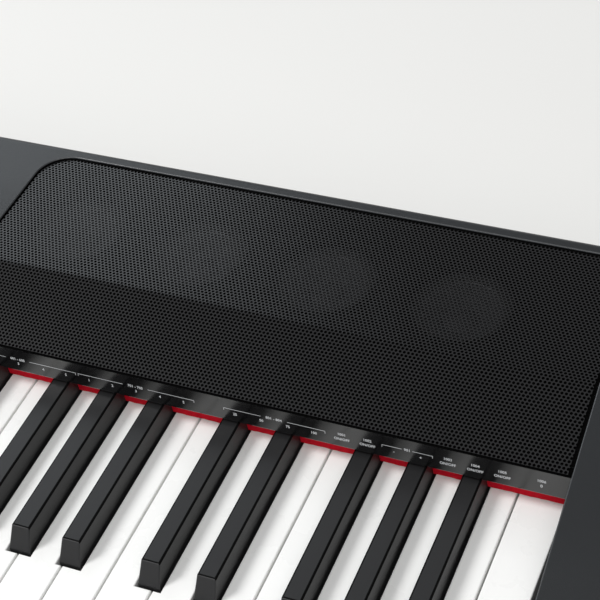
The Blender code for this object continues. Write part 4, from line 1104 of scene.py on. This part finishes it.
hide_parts("volume_knob")
bm = bmesh.new()
knob_top = Matrix.Translation((knob_at.x, knob_at.y, knob_high.z - 0.01))
printed_bar(bm, -0.5, 0.5, 4.0, knob_radius - 2.2, knob_top)
pointer = piece_from("volume_knob_pointer", bm, [print_ink], even=False)
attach(pointer, "volume_knob")

# The buttons
# Caps of pale grey ABS with rounded tops, each on a switch of the main board: a round one for the power and
# three long ones. A flange under the panel keeps each in.
BUTTON_ROUND = 0.5
# Pale grey ABS, fine-eroded: a soft satin.
button_abs = moulded_plastic("pale_grey_abs", "#c2c3c5", "#cccdcf", 0.4, 0.3, 0.01)
for node in ("power_button", "minus_button", "plus_button", "function_button"):
    bm = copy_of(node)
    round_edges(bm, top_creases(bm, corners(node)[1].z, 30.0), BUTTON_ROUND)
    button = piece_from(node + "_cap", bm, [button_abs])
    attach(button, node)
    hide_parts(node)

# The rear sockets
# Four sockets on their own board show through round windows in the back: power, computer, pedal and
# headphones. The round ones have a nickel-plated nut, and the square one a folded steel shell.
SOCKET_PITCH = 36.0
SHELL_HALF = (4.8, 4.3)
SHELL_LONG = 1.6
SHELL_WALL = 0.6
NUT_BORE = 3.4
NUT_RADIUS = 5.5
NUT_LONG = 2.2
NUT_SIDES = 36
# Nickel plate on brass: bright and warm, finely scratched.
nickel = scratched_metal("nickel_plated_brass", "#c9c4b8", 1500.0, 3.0, 0.15, 0.35)
jack_low, jack_high = corners("jack_board")
jack_mid = (jack_low + jack_high) / 2
for number, name in enumerate(("power", "computer", "pedal", "headphone")):
    x = jack_mid.x + SOCKET_PITCH * (number - 1.5)
    if name == "computer":
        wide, tall = SHELL_HALF
        bm = extruded(
            [(-wide, 0, -tall), (wide, 0, -tall), (wide, 0, tall), (-wide, 0, tall)], (0, SHELL_LONG, 0),
        )
        ends = [face for face in bm.faces if abs(face.normal.y) > 0.9]
        bmesh.ops.inset_individual(bm, faces=ends, thickness=SHELL_WALL, use_even_offset=True)
        inner = wide - SHELL_WALL / 2
        ends = [f for f in bm.faces if abs(f.normal.y) > 0.9 and all(abs(v.co.x) < inner for v in f.verts)]
        loops = [edge for face in ends for edge in face.edges]
        bmesh.ops.delete(bm, geom=ends, context="FACES_ONLY")
        bmesh.ops.bridge_loops(bm, edges=loops)
    else:
        bm = bmesh.new()
        ring = [
            (NUT_BORE, 0.3), (NUT_BORE + 0.3, 0), (NUT_RADIUS - 0.3, 0), (NUT_RADIUS, 0.3),
            (NUT_RADIUS, NUT_LONG - 0.3), (NUT_RADIUS - 0.3, NUT_LONG), (NUT_BORE + 0.5, NUT_LONG),
            (NUT_BORE, NUT_LONG - 0.5),
        ]
        points = [bm.verts.new((radius, height, 0)) for radius, height in ring]
        edges = [bm.edges.new((points[n - 1], points[n])) for n in range(len(points))]
        bmesh.ops.spin(
            bm, geom=points + edges, cent=(0, 0, 0), axis=(0, 1, 0), angle=2 * math.pi, steps=NUT_SIDES,
            use_merge=True,
        )
        bmesh.ops.remove_doubles(bm, verts=bm.verts, dist=0.001)
    bmesh.ops.recalc_face_normals(bm, faces=bm.faces)
    bmesh.ops.translate(bm, vec=(x, jack_high.y + 0.2, jack_mid.z), verts=bm.verts)
    socket = piece_from(name + "_socket_rim", bm, [nickel if name != "power" else base_abs])
    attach(socket, "piano_case")

# The works inside
# The boards are glass-epoxy with green solder mask, the chassis is moulded plastic, and the pivot is a ground
# steel bar. The keys land on felt and on the rubber domes of their contacts. All keep the CAD's shapes.
SOCKET_DEEP = 18.0
# Green solder mask over copper: glossy, with the tracks as a slightly lighter weave. Sockets are black.
board_mask, place = new_material("green_solder_mask")
tracks = add_node(board_mask, "ShaderNodeTexWave", {
    "Vector": place, "Scale": 120.0, "Distortion": 6.0, "Detail": 2.0,
})
mask_tint = add_node(
    board_mask, "ShaderNodeMix", {0: tracks.outputs["Fac"], 6: linear("#124a28"), 7: linear("#1f6a3a")},
    data_type="RGBA",
)
spot = add_node(board_mask, "ShaderNodeSeparateXYZ", {0: place})
behind = add_node(
    board_mask, "ShaderNodeMath", {0: spot.outputs["Y"], 1: (jack_high.y - SOCKET_DEEP) / 1000},
    operation="GREATER_THAN",
)
board_tint = add_node(
    board_mask, "ShaderNodeMix", {0: behind.outputs[0], 6: mask_tint.outputs[2], 7: linear("#0d0d0e")},
    data_type="RGBA",
)
close_material(board_mask, {"Base Color": board_tint.outputs[2], "Roughness": 0.35})
chassis_abs = moulded_plastic("grey_glass_filled_abs", "#353535", "#414141", 0.6, 1.0, 0.03)
# Ground steel: fine lines round the bar.
ground_steel = scratched_metal("ground_steel", "#b5b7ba", 2000.0, 2.0, 0.2, 0.4)
# Grey needle felt: dull, with short fibres.
stop_wool = dull_surface("grey_needle_felt", 1500.0, 4.0, "#4b4f48", "#6a6e66", 0.95, 0.0002)
# Pale silicone rubber: dull and a little cloudy.
dome_rubber = moulded_plastic("pale_silicone_rubber", "#c4c4be", "#d0d0ca", 0.7, 0.8, 0.01)
for node, material in (
    ("main_board", board_mask), ("jack_board", board_mask), ("contact_board", board_mask),
    ("key_chassis", chassis_abs), ("pivot_rail", ground_steel), ("stop_felt", stop_wool),
    ("contact_strip", dome_rubber),
):
    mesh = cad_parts[node].data
    mesh.materials.clear()
    mesh.materials.append(material)

low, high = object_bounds()
